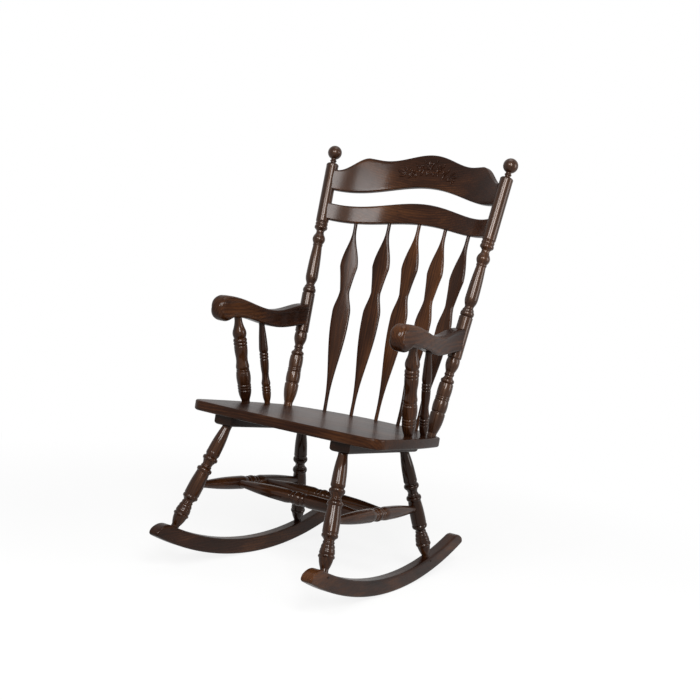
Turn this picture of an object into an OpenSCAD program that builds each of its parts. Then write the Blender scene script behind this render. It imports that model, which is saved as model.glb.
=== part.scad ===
// Rocking chair with turned legs and posts, feather slats, scrolled arms and a bent, humped crest rail.
// Millimetres. X runs to the sitter's left, Y to the rear and Z up; the origin is on the floor,
// under the middle of the chair.

/* [Overall] */
// Height of the ball finials above the floor
overall_h = 1219; // [1180:1:1260]
// Width over the ball finials
overall_w = 648; // [630:1:680]
// Length of the rockers from tip to tip, measured level; the crest rail leans back as far as the rear tips
overall_d = 838; // [825:1:860]

/* [Seat] */
// Height of the seat's top face above the floor, at the middle of the chair
seat_h = 437; // [430:0.5:445]
// Backward slope of the seat, in degrees
seat_slope = 5; // [4:0.1:6]
// Thickness of the seat board
seat_t = 28; // [25:1:32]
// Greatest width of the seat
seat_w = 622; // [606:1:640]
// From the middle of the chair forward to the seat's front edge
seat_front = 264; // [255:1:272]
// From the middle of the chair back to the seat's rear edge
seat_rear = 258; // [250:1:265]
// Radius of the seat's front edge, seen from above
seat_front_r = 3200; // [1500:50:6000]
// Radius of the seat's side edges, seen from above
seat_side_r = 1750; // [1500:50:2500]
// From the middle of the chair forward to the seat's widest place
seat_widest = 215; // [190:1:240]
// Radius of the seat's rear edge, seen from above
seat_rear_r = 382; // [360:2:400]
// Radius of the seat's front corners
front_corner_r = 42; // [30:1:55]
// Radius of the seat's rear corners
rear_corner_r = 24; // [18:1:28]

/* [Battens] */
// Width of the battens under the seat
batten_w = 60; // [50:1:70]
// Thickness of the battens
batten_t = 27; // [25:1:32]
// How far the battens reach past the middles of the leg sockets
batten_overhang = 23; // [19:1:32]
// Radius of the battens' lower corners
batten_round = 9; // [5:0.5:12]

/* [Rockers] */
// Radius of the rockers' running edge
rocker_r = 1030; // [990:10:1080]
// Depth of the rockers
rocker_h = 44; // [42:1:52]
// Thickness of the rockers
rocker_w = 34; // [30:1:42]
// Place of the rockers' lowest point behind the middle, under the centre of mass
balance_y = 40.7; // [30:0.1:50]
// Radius of the rockers' noses
nose_r = 50; // [46:1:58]
// Radius of the tips below the noses
tip_r = 9; // [6:0.5:12]

/* [Legs] */
// Distance from the chair's centre line to the front leg sockets
front_leg_x = 193; // [180:1:200]
// From the middle forward to the front leg sockets, along the seat
front_leg_y = 217; // [205:1:222]
// Distance from the chair's centre line to the rear leg sockets
rear_leg_x = 178.5; // [165:0.5:185]
// From the middle back to the rear leg sockets, along the seat
rear_leg_y = 120; // [108:1:128]
// Distance from the chair's centre line to the feet of the front legs
front_foot_x = 249; // [235:0.5:262]
// Level distance from the rockers' front tips back to the feet of the front legs
front_tip_l = 82.5; // [70:0.5:92]
// Distance from the chair's centre line to the feet of the rear legs
rear_foot_x = 230.5; // [215:0.5:238]
// Level distance from the rockers' rear tips forward to the feet of the rear legs
rear_tip_l = 200; // [188:1:212]
// Diameter of the legs at their rings
leg_d = 43; // [40:0.5:46]
// Diameter of the legs where they enter the battens
leg_top_d = 26; // [24:0.5:28]
// Diameter of the legs where they enter the rockers
leg_foot_d = 22; // [20:0.5:24]
// Depth of the leg sockets in the battens
leg_top_depth = 20; // [16:1:22]
// Depth of the leg sockets in the rockers
leg_foot_depth = 22; // [18:1:26]

/* [Stretchers] */
// Greatest diameter of the stretchers
stretcher_d = 39; // [34:0.5:42]
// Diameter of the stretchers' ends
stretcher_end_d = 21; // [18:0.5:21]
// Distance down the legs to the side stretchers
side_stretcher_drop = 181; // [176:1:188]
// Place of the front cross stretcher along the side stretchers, as a share of their length; the rear one mirrors it
cross_share = 0.365; // [0.35:0.005:0.395]
// How near the side stretchers come to the middle of the legs
stretcher_stop = 9; // [8:0.5:11]
// How near the cross stretchers come to the middle of the side stretchers
cross_stop = 7; // [6:0.5:9]

/* [Back posts] */
// Distance from the chair's centre line to the feet of the back posts
post_foot_x = 250; // [244:1:252]
// From the middle back to the feet of the back posts
post_foot_y = 132; // [126:0.5:136]
// Diameter of the back posts at their thickest barrel
post_d = 43; // [40:0.5:45]
// Diameter of the back posts where they enter the seat
post_foot_d = 26; // [24:0.5:28]
// Depth of the back post sockets
post_foot_depth = 22; // [16:1:23]
// Diameter of the post's upper length at its lower end
upper_post_d = 39; // [36:0.5:41]
// Diameter of the ball finials
finial_d = 43; // [38:0.5:46]

/* [Back rails] */
// How far the back rails bow behind the posts
rail_bow_depth = 90; // [75:1:95]
// Thickness of the crest rail and the back rail
rail_t = 20; // [18:0.5:24]
// Place of the back rail's lower edge at its ends, as a share of the height from the seat to the finials' tops
rail_share = 0.7436; // [0.74:0.0002:0.75]
// Height of the back rail at its ends
rail_end_h = 51; // [46:1:56]
// Rise of the back rail's lower edge from its ends to its middle
rail_rise = 35; // [25:1:45]
// Rise of the back rail's upper edge from its ends to its middle
rail_arch = 47; // [35:1:55]
// Place of the crest rail's lower edge at its ends, as a share of the height from the seat to the finials' tops
crest_share = 0.8645; // [0.86:0.0005:0.872]
// Height of the crest rail at its ends
crest_end_h = 62; // [56:1:66]
// Rise of the crest rail's lower edge from its ends to its middle
crest_rise = 55; // [45:1:65]
// Rise of the crest rail's shoulders above its ends
shoulder_rise = 58.5; // [45:0.5:66]
// Rise of the crest rail's hump above its shoulders
hump_rise = 36.5; // [30:0.5:38]
// Half the width of the hump
hump_half_w = 165; // [150:1:175]
// Thickness of the tenons on the rails
tenon_t = 9; // [7:0.5:11]
// Height of the shoulders above and below the tenons
tenon_shoulder = 8; // [5:0.5:11]
// How near the tenons come to the middle of the posts
tenon_stop = 5; // [3:0.5:8]

/* [Slats] */
// Width of the slats at their widest
slat_w = 56; // [48:1:62]
// Width of the slats at their waist
slat_waist = 30; // [24:1:36]
// Thickness of the slats
slat_t = 12; // [11:0.5:15]
// Diameter of the slats' round ends
slat_end_d = 11; // [9:0.5:12]
// Distance from the seat's rear edge to the slat sockets
slat_inset = 21; // [19:1:30]
// Angle between neighbouring slat sockets, about the centre of the seat's rear edge
slat_foot_angle = 13.2; // [12.5:0.1:14.5]
// Spacing of the slats along the back rail
slat_top_pitch = 98; // [90:0.5:104]
// Turn of each slat from its neighbour, in degrees
slat_fan = 9; // [0:0.5:11]
// Depth of the slat sockets in the seat
slat_foot_depth = 18; // [12:1:22]
// Depth of the slat sockets in the back rail
slat_top_depth = 16; // [12:1:22]

/* [Arms] */
// Height of the scroll's middle above the floor
scroll_z = 714; // [706:1:722]
// From the middle of the chair forward to the scroll's middle
scroll_y = 164; // [155:1:170]
// Radius of the scroll
scroll_r = 36; // [33:1:40]
// Width of the arms at the scroll
arm_w = 45; // [42:1:50]
// Width of the arms at the back posts
arm_rear_w = 37; // [32:1:42]
// Distance from the chair's centre line to the middle of the scroll
scroll_x = 295; // [285:1:299]
// Height of the arms' upper edge above the floor at its lowest
arm_dip_z = 712; // [707:1:716]
// Height of the arms' lower edge above the floor at its lowest
arm_belly_z = 661; // [656:1:666]
// Height of the arms' upper edge above the floor at the back posts
arm_rear_z = 731; // [726:1:738]
// Height of the arms' lower edge behind the scroll, above the floor
arm_throat_z = 688; // [684:1:692]

/* [Arm posts and spindles] */
// Distance from the chair's centre line to the feet of the arm posts
arm_post_foot_x = 276; // [268:1:278]
// From the middle of the chair forward to the feet of the arm posts
arm_post_foot_y = 42; // [36:0.5:52]
// From the middle of the chair forward to the tops of the arm posts
arm_post_top_y = 97; // [92:1:103]
// Greatest diameter of the arm posts
arm_post_d = 41; // [36:0.5:43]
// Diameter of the arm posts where they enter the seat
arm_post_foot_d = 24; // [20:0.5:26]
// Diameter of the arm posts where they enter the arms
arm_post_top_d = 22; // [18:0.5:24]
// Distance from the chair's centre line to the feet of the arm spindles
spindle_foot_x = 268.5; // [260:0.5:271]
// From the middle of the chair back to the feet of the arm spindles
spindle_foot_y = 53; // [42:0.5:58]
// From the middle of the chair back to the tops of the arm spindles
spindle_top_y = 4; // [-5:1:15]
// Greatest diameter of the arm spindles
spindle_d = 27.5; // [24:0.5:30]
// Diameter of the arm spindles' ends
spindle_end_d = 17; // [15:0.5:19]
// Depth of the sockets of the arm posts and spindles
arm_socket_depth = 18; // [14:1:22]

/* [Fasteners and fit] */
// Gap round every tenon in its socket
fit_gap = 0.15; // [0.1:0.05:0.25]
// Shank diameter of the screws
screw_d = 4.5; // [3.5:0.5:5]
// Head diameter of the screws
screw_head_d = 9; // [8:0.5:10]
// Length of the screws through the back posts into the arms
arm_screw_l = 70; // [60:1:80]
// Diameter of the pins through the tenons of the rails and the legs
pin_d = 5; // [4:0.5:6]

/* [Hidden] */
$fn = 64;

walnut = "#4a2a1a";
dark_walnut = "#3a2016";
steel = "#9a9a96";

// Points on a curved stretch of an outline
curve_steps = 8;
// Reach of cutting shapes past the wood
over = 40;

// ---- Frames and sockets

function unit(v) = v / norm(v);

// A point on the seat's own plane, `drop` below its top face
function on_seat(x, y, drop = 0) = [
    x,
    y * cos(seat_slope) - drop * sin(seat_slope),
    seat_h - y * sin(seat_slope) - drop * cos(seat_slope)
];

// The children in the seat's own frame
module seat_frame() translate([0, 0, seat_h]) rotate([-seat_slope, 0, 0]) children();

// The children with their Z axis running from a to b, starting at a
module from_to(a, b) {
    v = b - a;
    translate(a) rotate([0, acos(v.z / norm(v)), atan2(v.y, v.x)]) children();
}

// A round hole along the line from a to b, from `inside` before a to `outside` past it
module socket(a, b, d, inside, outside)
    from_to(a, b) translate([0, 0, -inside]) cylinder(d = d + 2 * fit_gap, h = inside + outside);

// Both sides of the chair
module both_sides() {
    children();
    mirror([1, 0, 0]) children();
}

// What is left outside a round of centre m that touches its edges at m + a and m + b
module corner_waste(m, a, b, lap = 0) difference() {
    polygon([m, m + a * 2, m + (a + b) * 3, m + b * 2]);
    translate(m) circle(norm(a) + lap);
}

// Outlines given thickness: one drawn in Y and Z, one drawn in X and Z
module side_view(w) rotate([90, 0, 90]) linear_extrude(w, center = true) children();
module front_view(depth) rotate([90, 0, 0]) linear_extrude(depth, center = true) children();

// 0 to 1 along half a cosine wave, level at both ends
function ease(t) = (1 - cos(180 * max(0, min(1, t)))) / 2;

// ---- Turned work

// Each stick lists [distance along, diameter, bulge of the run that ends there, kind of run].
// A "bead" is half an ellipse, an "ease" a soft S; any other run is a slope with a sine wave on it.
function run_points(a, b) = b[2] == 0 && b[3] != "ease" ? [[b[1] / 2, b[0]]] : [
    for (i = [1 : curve_steps])
        let (t = i / curve_steps, soft = ease(t))
        [
            (a[1] + (b[1] - a[1]) * (b[3] == undef ? t : soft)) / 2 + b[2] * sin(180 * t),
            a[0] + (b[0] - a[0]) * (b[3] == "bead" ? soft : t)
        ]
];

function stick_outline(stick) = [
    [stick[0][1] / 2, stick[0][0]],
    for (i = [1 : len(stick) - 1]) for (p = run_points(stick[i - 1], stick[i])) p
];

function stick_length(stick) = stick[len(stick) - 1][0];

// The turning along its own Z axis, stretched to the given length, with a plain tenon at each end
module turning(stick, length, start_tenon, end_tenon) {
    stretch = length / stick_length(stick);
    outline = [for (p = stick_outline(stick)) [p.x, p.y * stretch]];
    first = outline[0];
    last = outline[len(outline) - 1];
    rotate_extrude() polygon(concat(
        [[0, -start_tenon], [first.x, -start_tenon]],
        outline,
        [[last.x, length + end_tenon], [0, length + end_tenon]]
    ));
}

// From the batten down to the rocker
leg_stick = [
    [0, leg_top_d], [9, leg_top_d, 0], [86, leg_d * 0.89, 1.5], [99, leg_d * 0.76, 1.5],
    [101, leg_d * 0.84, 0], [113, leg_d * 0.84, 3.5, "bead"], [128, leg_d * 0.62, -1],
    [134, leg_d * 0.66, 1.6, "bead"], [137, leg_d * 0.84, 0], [149, leg_d * 0.84, 3.5, "bead"],
    [151, leg_d * 0.85, 0], [221, leg_d * 0.98, 1.2], [223, leg_d * 0.88, 0],
    [234, leg_d * 0.88, 2.8, "bead"], [243, leg_d * 0.62, -1], [249, leg_d * 0.68, 1.5, "bead"],
    [251, leg_d * 0.7, 0], [261, leg_d * 0.84, 1], [262.5, leg_d * 0.8, 0],
    [270, leg_d * 0.88, 1.2, "bead"], [279, leg_d * 0.86, 1.6, "bead"], [280, leg_d * 0.86, 0],
    [289, leg_d * 0.88, 3, "bead"], [318, leg_foot_d, 1.2], [325, leg_foot_d, 0]
];

// From one leg to the middle; the other half is the same, turned round
stretcher_half = [
    [0, stretcher_end_d], [10, stretcher_end_d, 0], [112, stretcher_d * 0.97, 2],
    [132, stretcher_d * 0.85, 1.2], [133.5, stretcher_d * 0.76, 0], [143, stretcher_d * 0.76, 2.8, "bead"]
];
stretcher_mid = 150;
stretcher_halves = len(stretcher_half) - 1;
stretcher_stick = concat(
    stretcher_half,
    [[2 * stretcher_mid - stretcher_half[stretcher_halves][0], stretcher_d * 0.76, 4.5, "bead"]],
    [for (i = [stretcher_halves - 1 : -1 : 0])
        let (here = stretcher_half[i], next = stretcher_half[i + 1])
        [2 * stretcher_mid - here[0], here[1], next[2], next[3]]]
);

// How far arcs of a rocker's end that run on into each other cross
arc_lap = 0.02;

// The upper length of the post, which the rails join
upper_foot = 584;
upper_shoulder = 764;
upper_taper = 0.96;

// From the seat up to the shoulder under the finial
post_stick = [
    [0, post_foot_d], [9, post_foot_d, 0], [66, post_d * 0.98, 2.5], [70.5, post_d * 0.86, 0],
    [73, post_d * 0.95, 0], [104, post_d * 0.95, 1], [106, post_d * 0.88, 0],
    [111, post_d * 0.88, 1.6, "bead"], [117, post_d * 0.88, 1.6, "bead"], [119, post_d * 0.93, 0],
    [155.5, post_d * 0.9, 1], [157, post_d * 0.74, 0], [169, post_d * 0.72, 3.5, "bead"],
    [178, post_d * 0.55, -1], [185, post_d * 0.58, 1.8, "bead"], [190, post_d * 0.6, 0],
    [226, post_d * 0.86, 3], [229, post_d * 0.8, 0], [232, post_d * 0.93, 0],
    [353, upper_post_d, 0], [355.5, post_d * 0.76, 0], [371, post_d * 0.74, 3.6, "bead"],
    [378, post_d * 0.64, 1.4, "bead"], [386, post_d * 0.62, -0.8], [409, post_d * 0.87, 1.5],
    [505, post_d * 0.64, 1], [511, post_d * 0.64, 1.5, "bead"], [543, post_d * 0.6, 6],
    [553, post_d * 0.56, -0.6], [558, post_d * 0.78, 0], [570, post_d * 0.78, 3.2, "bead"],
    [580, post_d * 0.78, 2.2, "bead"], [upper_foot, upper_post_d, 0],
    [upper_shoulder, upper_post_d * upper_taper, 0], [upper_shoulder + 9, upper_post_d * 0.7, 2.2]
];
// The finial's neck, from the post's shoulder to the ring and on to the middle of the ball
neck_ring_l = 8;
neck_l = 35;
post_stick_l = stick_length(post_stick) + neck_l;

// From the seat up to the arm
arm_post_stick = [
    [0, arm_post_foot_d], [8, arm_post_foot_d, 0], [39, arm_post_d * 0.95, 1.2],
    [41, arm_post_d * 0.86, 0], [50, arm_post_d * 0.88, 1.8, "bead"],
    [58, arm_post_d * 0.88, 1.8, "bead"], [60, arm_post_d * 0.94, 0], [97, arm_post_d * 0.96, 1.4],
    [99, arm_post_d * 0.84, 0], [104, arm_post_d * 0.86, 1.5, "bead"], [115, arm_post_d * 0.93, 0.8],
    [142, arm_post_d * 0.83, -1], [176, arm_post_d * 0.93, 0.8], [178, arm_post_d * 0.84, 0],
    [188, arm_post_d * 0.84, 2.6, "bead"], [199, arm_post_d * 0.82, 2.8, "bead"],
    [201, arm_post_d * 0.84, 0], [224, arm_post_d * 0.9, 2.2], [253, arm_post_top_d, -1],
    [263, arm_post_top_d, 0]
];

// From the seat up to the arm
spindle_stick = [
    [0, spindle_end_d], [7, spindle_end_d, 0], [36, spindle_d * 0.94, 1.2], [37.5, spindle_d * 0.8, 0],
    [46, spindle_d * 0.8, 2.4, "bead"], [54, spindle_d * 0.8, 2.4, "bead"], [56, spindle_d * 0.86, 0],
    [66, spindle_d * 0.95, 0.8], [92, spindle_d * 0.74, -0.8], [136, spindle_d * 0.92, 0.8],
    [138, spindle_d * 0.78, 0], [147, spindle_d * 0.8, 2.4, "bead"], [156, spindle_d * 0.78, 2.4, "bead"],
    [158, spindle_d * 0.88, 0], [168, spindle_d * 0.98, 0.4], [236, spindle_end_d, 0.6],
    [243, spindle_end_d, 0]
];

// From the seat up to the back rail; turned round, then flattened on both faces
slat_stick = [
    [0, slat_end_d], [32, slat_end_d, 0], [300, slat_w, 0, "ease"], [318, slat_w, 0],
    [391, slat_waist, 0, "ease"], [469, slat_w * 0.98, -0.8], [590, slat_end_d, 0, "ease"],
    [612, slat_end_d, 0]
];

// ---- Seat and battens

// Where two circles cross, on the side that `side` picks
function crossing(c1, r1, c2, r2, side) =
    let (
        d = norm(c2 - c1),
        along = (r1 * r1 - r2 * r2 + d * d) / (2 * d),
        off = sqrt(r1 * r1 - along * along),
        e = (c2 - c1) / d
    )
    c1 + along * e + side * off * [-e.y, e.x];

front_centre = [0, seat_front_r - seat_front];
side_centre = [seat_w / 2 - seat_side_r, -seat_widest];
rear_centre = [0, seat_rear - seat_rear_r];

// The waste where two edges of the seat meet in a round corner
module seat_corner(c1, r1, c2, r2, r, side) {
    m = crossing(c1, r1 - r, c2, r2 - r, side);
    corner_waste(m, unit(m - c1) * r, unit(m - c2) * r);
}

module seat_plan() difference() {
    intersection() {
        translate(front_centre) circle(seat_front_r, $fn = 360);
        translate(side_centre) circle(seat_side_r, $fn = 360);
        mirror([1, 0]) translate(side_centre) circle(seat_side_r, $fn = 360);
        translate(rear_centre) circle(seat_rear_r, $fn = 180);
    }
    for (m = [0, 1]) mirror([m, 0]) {
        seat_corner(rear_centre, seat_rear_r, side_centre, seat_side_r, rear_corner_r, -1);
        seat_corner(front_centre, seat_front_r, side_centre, seat_side_r, front_corner_r, 1);
    }
}

front_top = on_seat(front_leg_x, -front_leg_y, seat_t + batten_t);
rear_top = on_seat(rear_leg_x, rear_leg_y, seat_t + batten_t);
batten_toe = atan2(front_leg_x - rear_leg_x, front_leg_y + rear_leg_y);
batten_l = norm([front_leg_x - rear_leg_x, front_leg_y + rear_leg_y]) + 2 * batten_overhang;

// The left batten's own frame: Y along it, Z up from its upper face
module batten_frame()
    seat_frame()
        translate([(front_leg_x + rear_leg_x) / 2, (rear_leg_y - front_leg_y) / 2, -seat_t])
            rotate([0, 0, batten_toe]) children();

// A section hanging from the X axis, with its two lower corners round
module hanging_section(w, t, r) {
    translate([-w / 2, r - t]) square([w, t - r]);
    translate([r - w / 2, -t]) square([w - 2 * r, t]);
    for (s = [-1, 1]) translate([s * (w / 2 - r), r - t]) circle(r);
}

screw_head_h = 3;
// Depth of the screws' heads below the wood, and how far up the seat board the batten screws reach
screw_sink = 8;
batten_screw_l = batten_t - screw_sink + seat_t * 0.65;
batten_screw_pitch = batten_l * 0.3;

// A screw along Z with the underside of its head at the origin
module screw(l) {
    translate([0, 0, -screw_head_h]) cylinder(d = screw_head_d, h = screw_head_h);
    cylinder(d = screw_d, h = l);
}

module screw_hole(l) {
    translate([0, 0, -over]) cylinder(d = screw_head_d + 2 * fit_gap, h = over);
    cylinder(d = screw_d + 2 * fit_gap, h = l + fit_gap);
}

module at_batten_screws()
    batten_frame() for (i = [-1 : 1])
        translate([0, i * batten_screw_pitch, screw_sink - batten_t]) children();

module batten() color(walnut) difference() {
    batten_frame() intersection() {
        front_view(batten_l) hanging_section(batten_w, batten_t, batten_round);
        side_view(batten_w) hanging_section(batten_l, batten_t, batten_round);
    }
    socket(front_top, front_foot, leg_top_d, leg_top_depth, over);
    socket(rear_top, rear_foot, leg_top_d, leg_top_depth, over);
    at_batten_screws() screw_hole(batten_screw_l);
}

// ---- Rockers, legs and stretchers

front_foot_y = overall_d / 2 - front_tip_l;
rear_foot_y = overall_d / 2 - rear_tip_l;
rocker_toe = atan2(front_foot_x - rear_foot_x, front_foot_y + rear_foot_y);
rocker_mid_x = front_foot_x - (front_foot_y + balance_y) * tan(rocker_toe);
// Level distance from the rocker's lowest point to its tips, along the rocker
rocker_tip_give = rocker_w / 2 * sin(rocker_toe);
rocker_front_l = (overall_d / 2 + balance_y - rocker_tip_give) / cos(rocker_toe);
rocker_rear_l = (overall_d / 2 - balance_y - rocker_tip_give) / cos(rocker_toe);

// Height of the rocker's upper edge above the floor
function rocker_top(y) =
    rocker_r - sqrt(pow(rocker_r - rocker_h, 2) - pow((y - balance_y) / cos(rocker_toe), 2));

front_foot = [front_foot_x, -front_foot_y, rocker_top(-front_foot_y)];
rear_foot = [rear_foot_x, rear_foot_y, rocker_top(rear_foot_y)];

// The left rocker's own frame, about the middle of its arc
module rocker_frame() translate([rocker_mid_x, balance_y, rocker_r]) rotate([0, 0, rocker_toe]) children();

// The waste round a rocker's tip, in side view, `l` being the level distance out to the tip: a small
// arc from the running edge, then a larger one up and over to the upper edge
module nose_waste(l) {
    tip_y = l - tip_r - arc_lap * 2;
    tip = [tip_y, -sqrt(pow(rocker_r - tip_r, 2) - pow(tip_y, 2))];
    nose = crossing([0, 0], rocker_r - rocker_h + nose_r, tip, nose_r - tip_r, -1);
    corner_waste(tip, unit(tip) * tip_r, unit(tip - nose) * tip_r, arc_lap * 2);
    corner_waste(nose, unit(2 * unit(tip - nose) + unit(tip)) * nose_r, -unit(nose) * nose_r, arc_lap);
}

module rocker_side() {
    front = rocker_front_l + tip_r / 4;
    rear = rocker_rear_l + tip_r / 4;
    difference() {
        intersection() {
            circle(rocker_r, $fn = 360);
            polygon([[-front, 0], [-front, -rocker_r], [rear, -rocker_r], [rear, 0]]);
        }
        circle(rocker_r - rocker_h, $fn = 360);
        nose_waste(rocker_rear_l);
        mirror([1, 0]) nose_waste(rocker_front_l);
    }
}

leg_pins = [[front_foot, front_top], [rear_foot, rear_top]];
pin_inset = 0.5;

// The pins lie across the rocker, through the middle of each leg's tenon
module at_leg_pins()
    for (leg = leg_pins)
        translate(leg[0] - unit(leg[1] - leg[0]) * leg_foot_depth / 2)
            rotate([0, 90, rocker_toe]) children();

module rocker() color(walnut) difference() {
    rocker_frame() side_view(rocker_w) rocker_side();
    socket(front_foot, front_top, leg_foot_d, leg_foot_depth, over);
    socket(rear_foot, rear_top, leg_foot_d, leg_foot_depth, over);
    at_leg_pins() cylinder(d = pin_d + 2 * fit_gap, h = 2 * rocker_w, center = true);
}

function down(top, foot, drop) = top + unit(foot - top) * drop;

front_side_joint = down(front_top, front_foot, side_stretcher_drop);
rear_side_joint = down(rear_top, rear_foot, side_stretcher_drop);
cross_front = front_side_joint + (rear_side_joint - front_side_joint) * cross_share;
cross_rear = rear_side_joint + (front_side_joint - rear_side_joint) * cross_share;

function other_side(p) = [-p.x, p.y, p.z];

// The hole for a stretcher that runs from a towards b and comes within `stop` of a
module stretcher_hole(a, b, stop)
    from_to(a, b) translate([0, 0, stop - fit_gap])
        cylinder(d = stretcher_end_d + 2 * fit_gap, h = over);

module leg(top, foot) difference() {
    from_to(top, foot) turning(leg_stick, norm(foot - top), leg_top_depth, leg_foot_depth);
    at_leg_pins() cylinder(d = pin_d + 2 * fit_gap, h = 2 * rocker_w, center = true);
}

module leg_front() color(dark_walnut) difference() {
    leg(front_top, front_foot);
    stretcher_hole(front_side_joint, rear_side_joint, stretcher_stop);
}

module leg_rear() color(dark_walnut) difference() {
    leg(rear_top, rear_foot);
    stretcher_hole(rear_side_joint, front_side_joint, stretcher_stop);
}

// Where a stretcher's turning starts, from the middle of what it joins
side_start = leg_d * 0.46;
cross_start = stretcher_d * 0.45;

module stretcher(a, b, start, stop)
    from_to(a, b) translate([0, 0, start])
        turning(stretcher_stick, norm(b - a) - 2 * start, start - stop, start - stop);

module side_stretcher() color(dark_walnut) difference() {
    stretcher(front_side_joint, rear_side_joint, side_start, stretcher_stop);
    for (p = [cross_front, cross_rear]) stretcher_hole(p, other_side(p), cross_stop);
}

module cross_stretcher(p) color(dark_walnut) stretcher(p, other_side(p), cross_start, cross_stop);

// ---- Back posts

post_foot = on_seat(post_foot_x, post_foot_y);
// Heights of the rails' lower edges at their ends, along the raked back
rail_low = rail_share * (overall_h - seat_h);
crest_low = crest_share * (overall_h - seat_h);
// The rake that brings the back of the crest rail's hump to the full depth
crest_back = [rail_bow_depth + rail_t / 2, crest_low + crest_end_h + shoulder_rise + hump_rise];
post_rake = atan2(crest_back.y, crest_back.x) - acos((overall_d / 2 - post_foot.y) / norm(crest_back));
finial_z = overall_h - finial_d / 2;
finial = [
    (overall_w - finial_d) / 2,
    post_foot.y + (finial_z - post_foot.z) * tan(post_rake),
    finial_z
];
post_l = norm(finial - post_foot);
// Height of the finials along the raked back
finial_up = (finial.z - post_foot.z) / cos(post_rake);

// A point in the raked back's frame: x across, n behind the posts, up along the back
function on_back(x, n, up) = [
    x,
    post_foot.y + n * cos(post_rake) + up * sin(post_rake),
    post_foot.z - n * sin(post_rake) + up * cos(post_rake)
];

module back_frame() translate([0, post_foot.y, post_foot.z]) rotate([-post_rake, 0, 0]) children();

// Distance of the post's middle from the centre line, `up` along the back
function post_x(up) = post_foot_x + (finial.x - post_foot_x) * up / finial_up;

// A place on the post's middle, at height z above the floor
function post_at(z) = post_foot + (finial - post_foot) * (z - post_foot.z) / (finial.z - post_foot.z);

neck_d = upper_post_d * 0.4;
neck_ring_d = upper_post_d * 0.52;

module post_turning() {
    to_finial = post_l / post_stick_l;
    turning(post_stick, stick_length(post_stick) * to_finial, post_foot_depth, 0);
    cylinder(d = neck_d, h = post_l);
    translate([0, 0, (stick_length(post_stick) + neck_ring_l) * to_finial]) rotate_extrude() {
        translate([neck_ring_d / 2 - 3, 0]) circle(3);
        translate([0, -3]) square([neck_ring_d / 2 - 3, 6]);
    }
    translate([0, 0, post_l]) sphere(d = finial_d);
}

module back_post() color(dark_walnut) difference() {
    from_to(post_foot, finial) post_turning();
    back_frame() {
        rail_tenon(rail_low, rail_end_h, fit_gap);
        rail_tenon(crest_low, crest_end_h, fit_gap);
    }
    at_rail_pins() pin_hole();
    at_arm_screw() screw_hole(arm_screw_l);
}

// ---- Back rails

// Half the length of a rail's bow, from its middle to where it meets the post
function bow_half(low, end_h) = post_x(low + end_h / 2) - upper_post_d / 3;
function bow_r(low, end_h) =
    (pow(bow_half(low, end_h), 2) + pow(rail_bow_depth, 2)) / (2 * rail_bow_depth);

// How far behind the posts the middle of a rail's thickness lies
function bow_at(x, low, end_h) =
    rail_bow_depth - bow_r(low, end_h) + sqrt(pow(bow_r(low, end_h), 2) - x * x);

// 1 in the middle of the chair, falling to 0 at `half` either side
function arch(x, half) = 1 - ease(abs(x) / half);

shoulder_in = 196;
shoulder_out = 284;

rail_half = bow_half(rail_low, rail_end_h);
crest_half = bow_half(crest_low, crest_end_h);

function rail_under(x) = rail_low + rail_rise * arch(x, rail_half);
function rail_over(x) = rail_low + rail_end_h + rail_arch * arch(x, rail_half);
function crest_under(x) = crest_low + crest_rise * arch(x, crest_half);
function crest_over(x) =
    crest_low + crest_end_h + hump_rise * arch(x, hump_half_w)
        + shoulder_rise * (1 - ease((abs(x) - shoulder_in) / (shoulder_out - shoulder_in)));

// The bent board: a bow of thickness t
module bow_band(low, end_h, t) {
    r = bow_r(low, end_h);
    h = crest_low + crest_end_h + shoulder_rise + hump_rise + over;
    translate([0, rail_bow_depth - r, 0]) difference() {
        cylinder(r = r + t / 2, h = h, $fn = 360);
        translate([0, 0, -1]) cylinder(r = r - t / 2, h = h + 2, $fn = 360);
    }
}

// The tenon of a rail in the left post, with its socket when grown
module rail_tenon(low, end_h, grow) intersection() {
    bow_band(low, end_h, tenon_t + 2 * grow);
    front_view(4 * over) polygon([
        for (up = [low + tenon_shoulder - grow, low + end_h - tenon_shoulder + grow])
            [post_x(up) - tenon_stop + grow, up],
        for (up = [low + end_h - tenon_shoulder + grow, low + tenon_shoulder - grow])
            [post_x(up) - upper_post_d, up]
    ]);
}

rail_steps = 48;
// Where a rail's own width stops, from the middle of the post
rail_stop = upper_post_d / 4;

function edge_x(i, up) = (2 * i / rail_steps - 1) * (post_x(up) - rail_stop);

// The part of the post that the rails stand against, with its clearance
module rail_clearance() {
    to_finial = post_l / post_stick_l;
    from_to(post_foot, finial) translate([0, 0, upper_foot * to_finial]) cylinder(
        d1 = upper_post_d + 2 * fit_gap,
        d2 = upper_post_d * upper_taper + 2 * fit_gap,
        h = (upper_shoulder - upper_foot) * to_finial
    );
}

// A rail between its lower and upper edges, each a list of points from right to left
module bowed_rail(low, end_h, under, upper) {
    difference() {
        back_frame() intersection() {
            bow_band(low, end_h, rail_t);
            translate([0, rail_bow_depth / 2, 0]) front_view(4 * over + rail_bow_depth)
                polygon(concat(under, [for (i = [len(upper) - 1 : -1 : 0]) upper[i]]));
        }
        both_sides() rail_clearance();
    }
    back_frame() both_sides() rail_tenon(low, end_h, 0);
}

pin_l = 24;
pin_heights = [rail_low + rail_end_h / 2, crest_low + crest_end_h * 0.3, crest_low + crest_end_h * 0.7];
// The pins pass the middle of the post at this distance, nearer the rails
pin_off = (upper_post_d / 2 + tenon_stop) / 2;

function upper_post_r(up) =
    upper_post_d / 2 * (1 - (1 - upper_taper) * (up * post_stick_l / finial_up - upper_foot)
        / (upper_shoulder - upper_foot));

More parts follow.
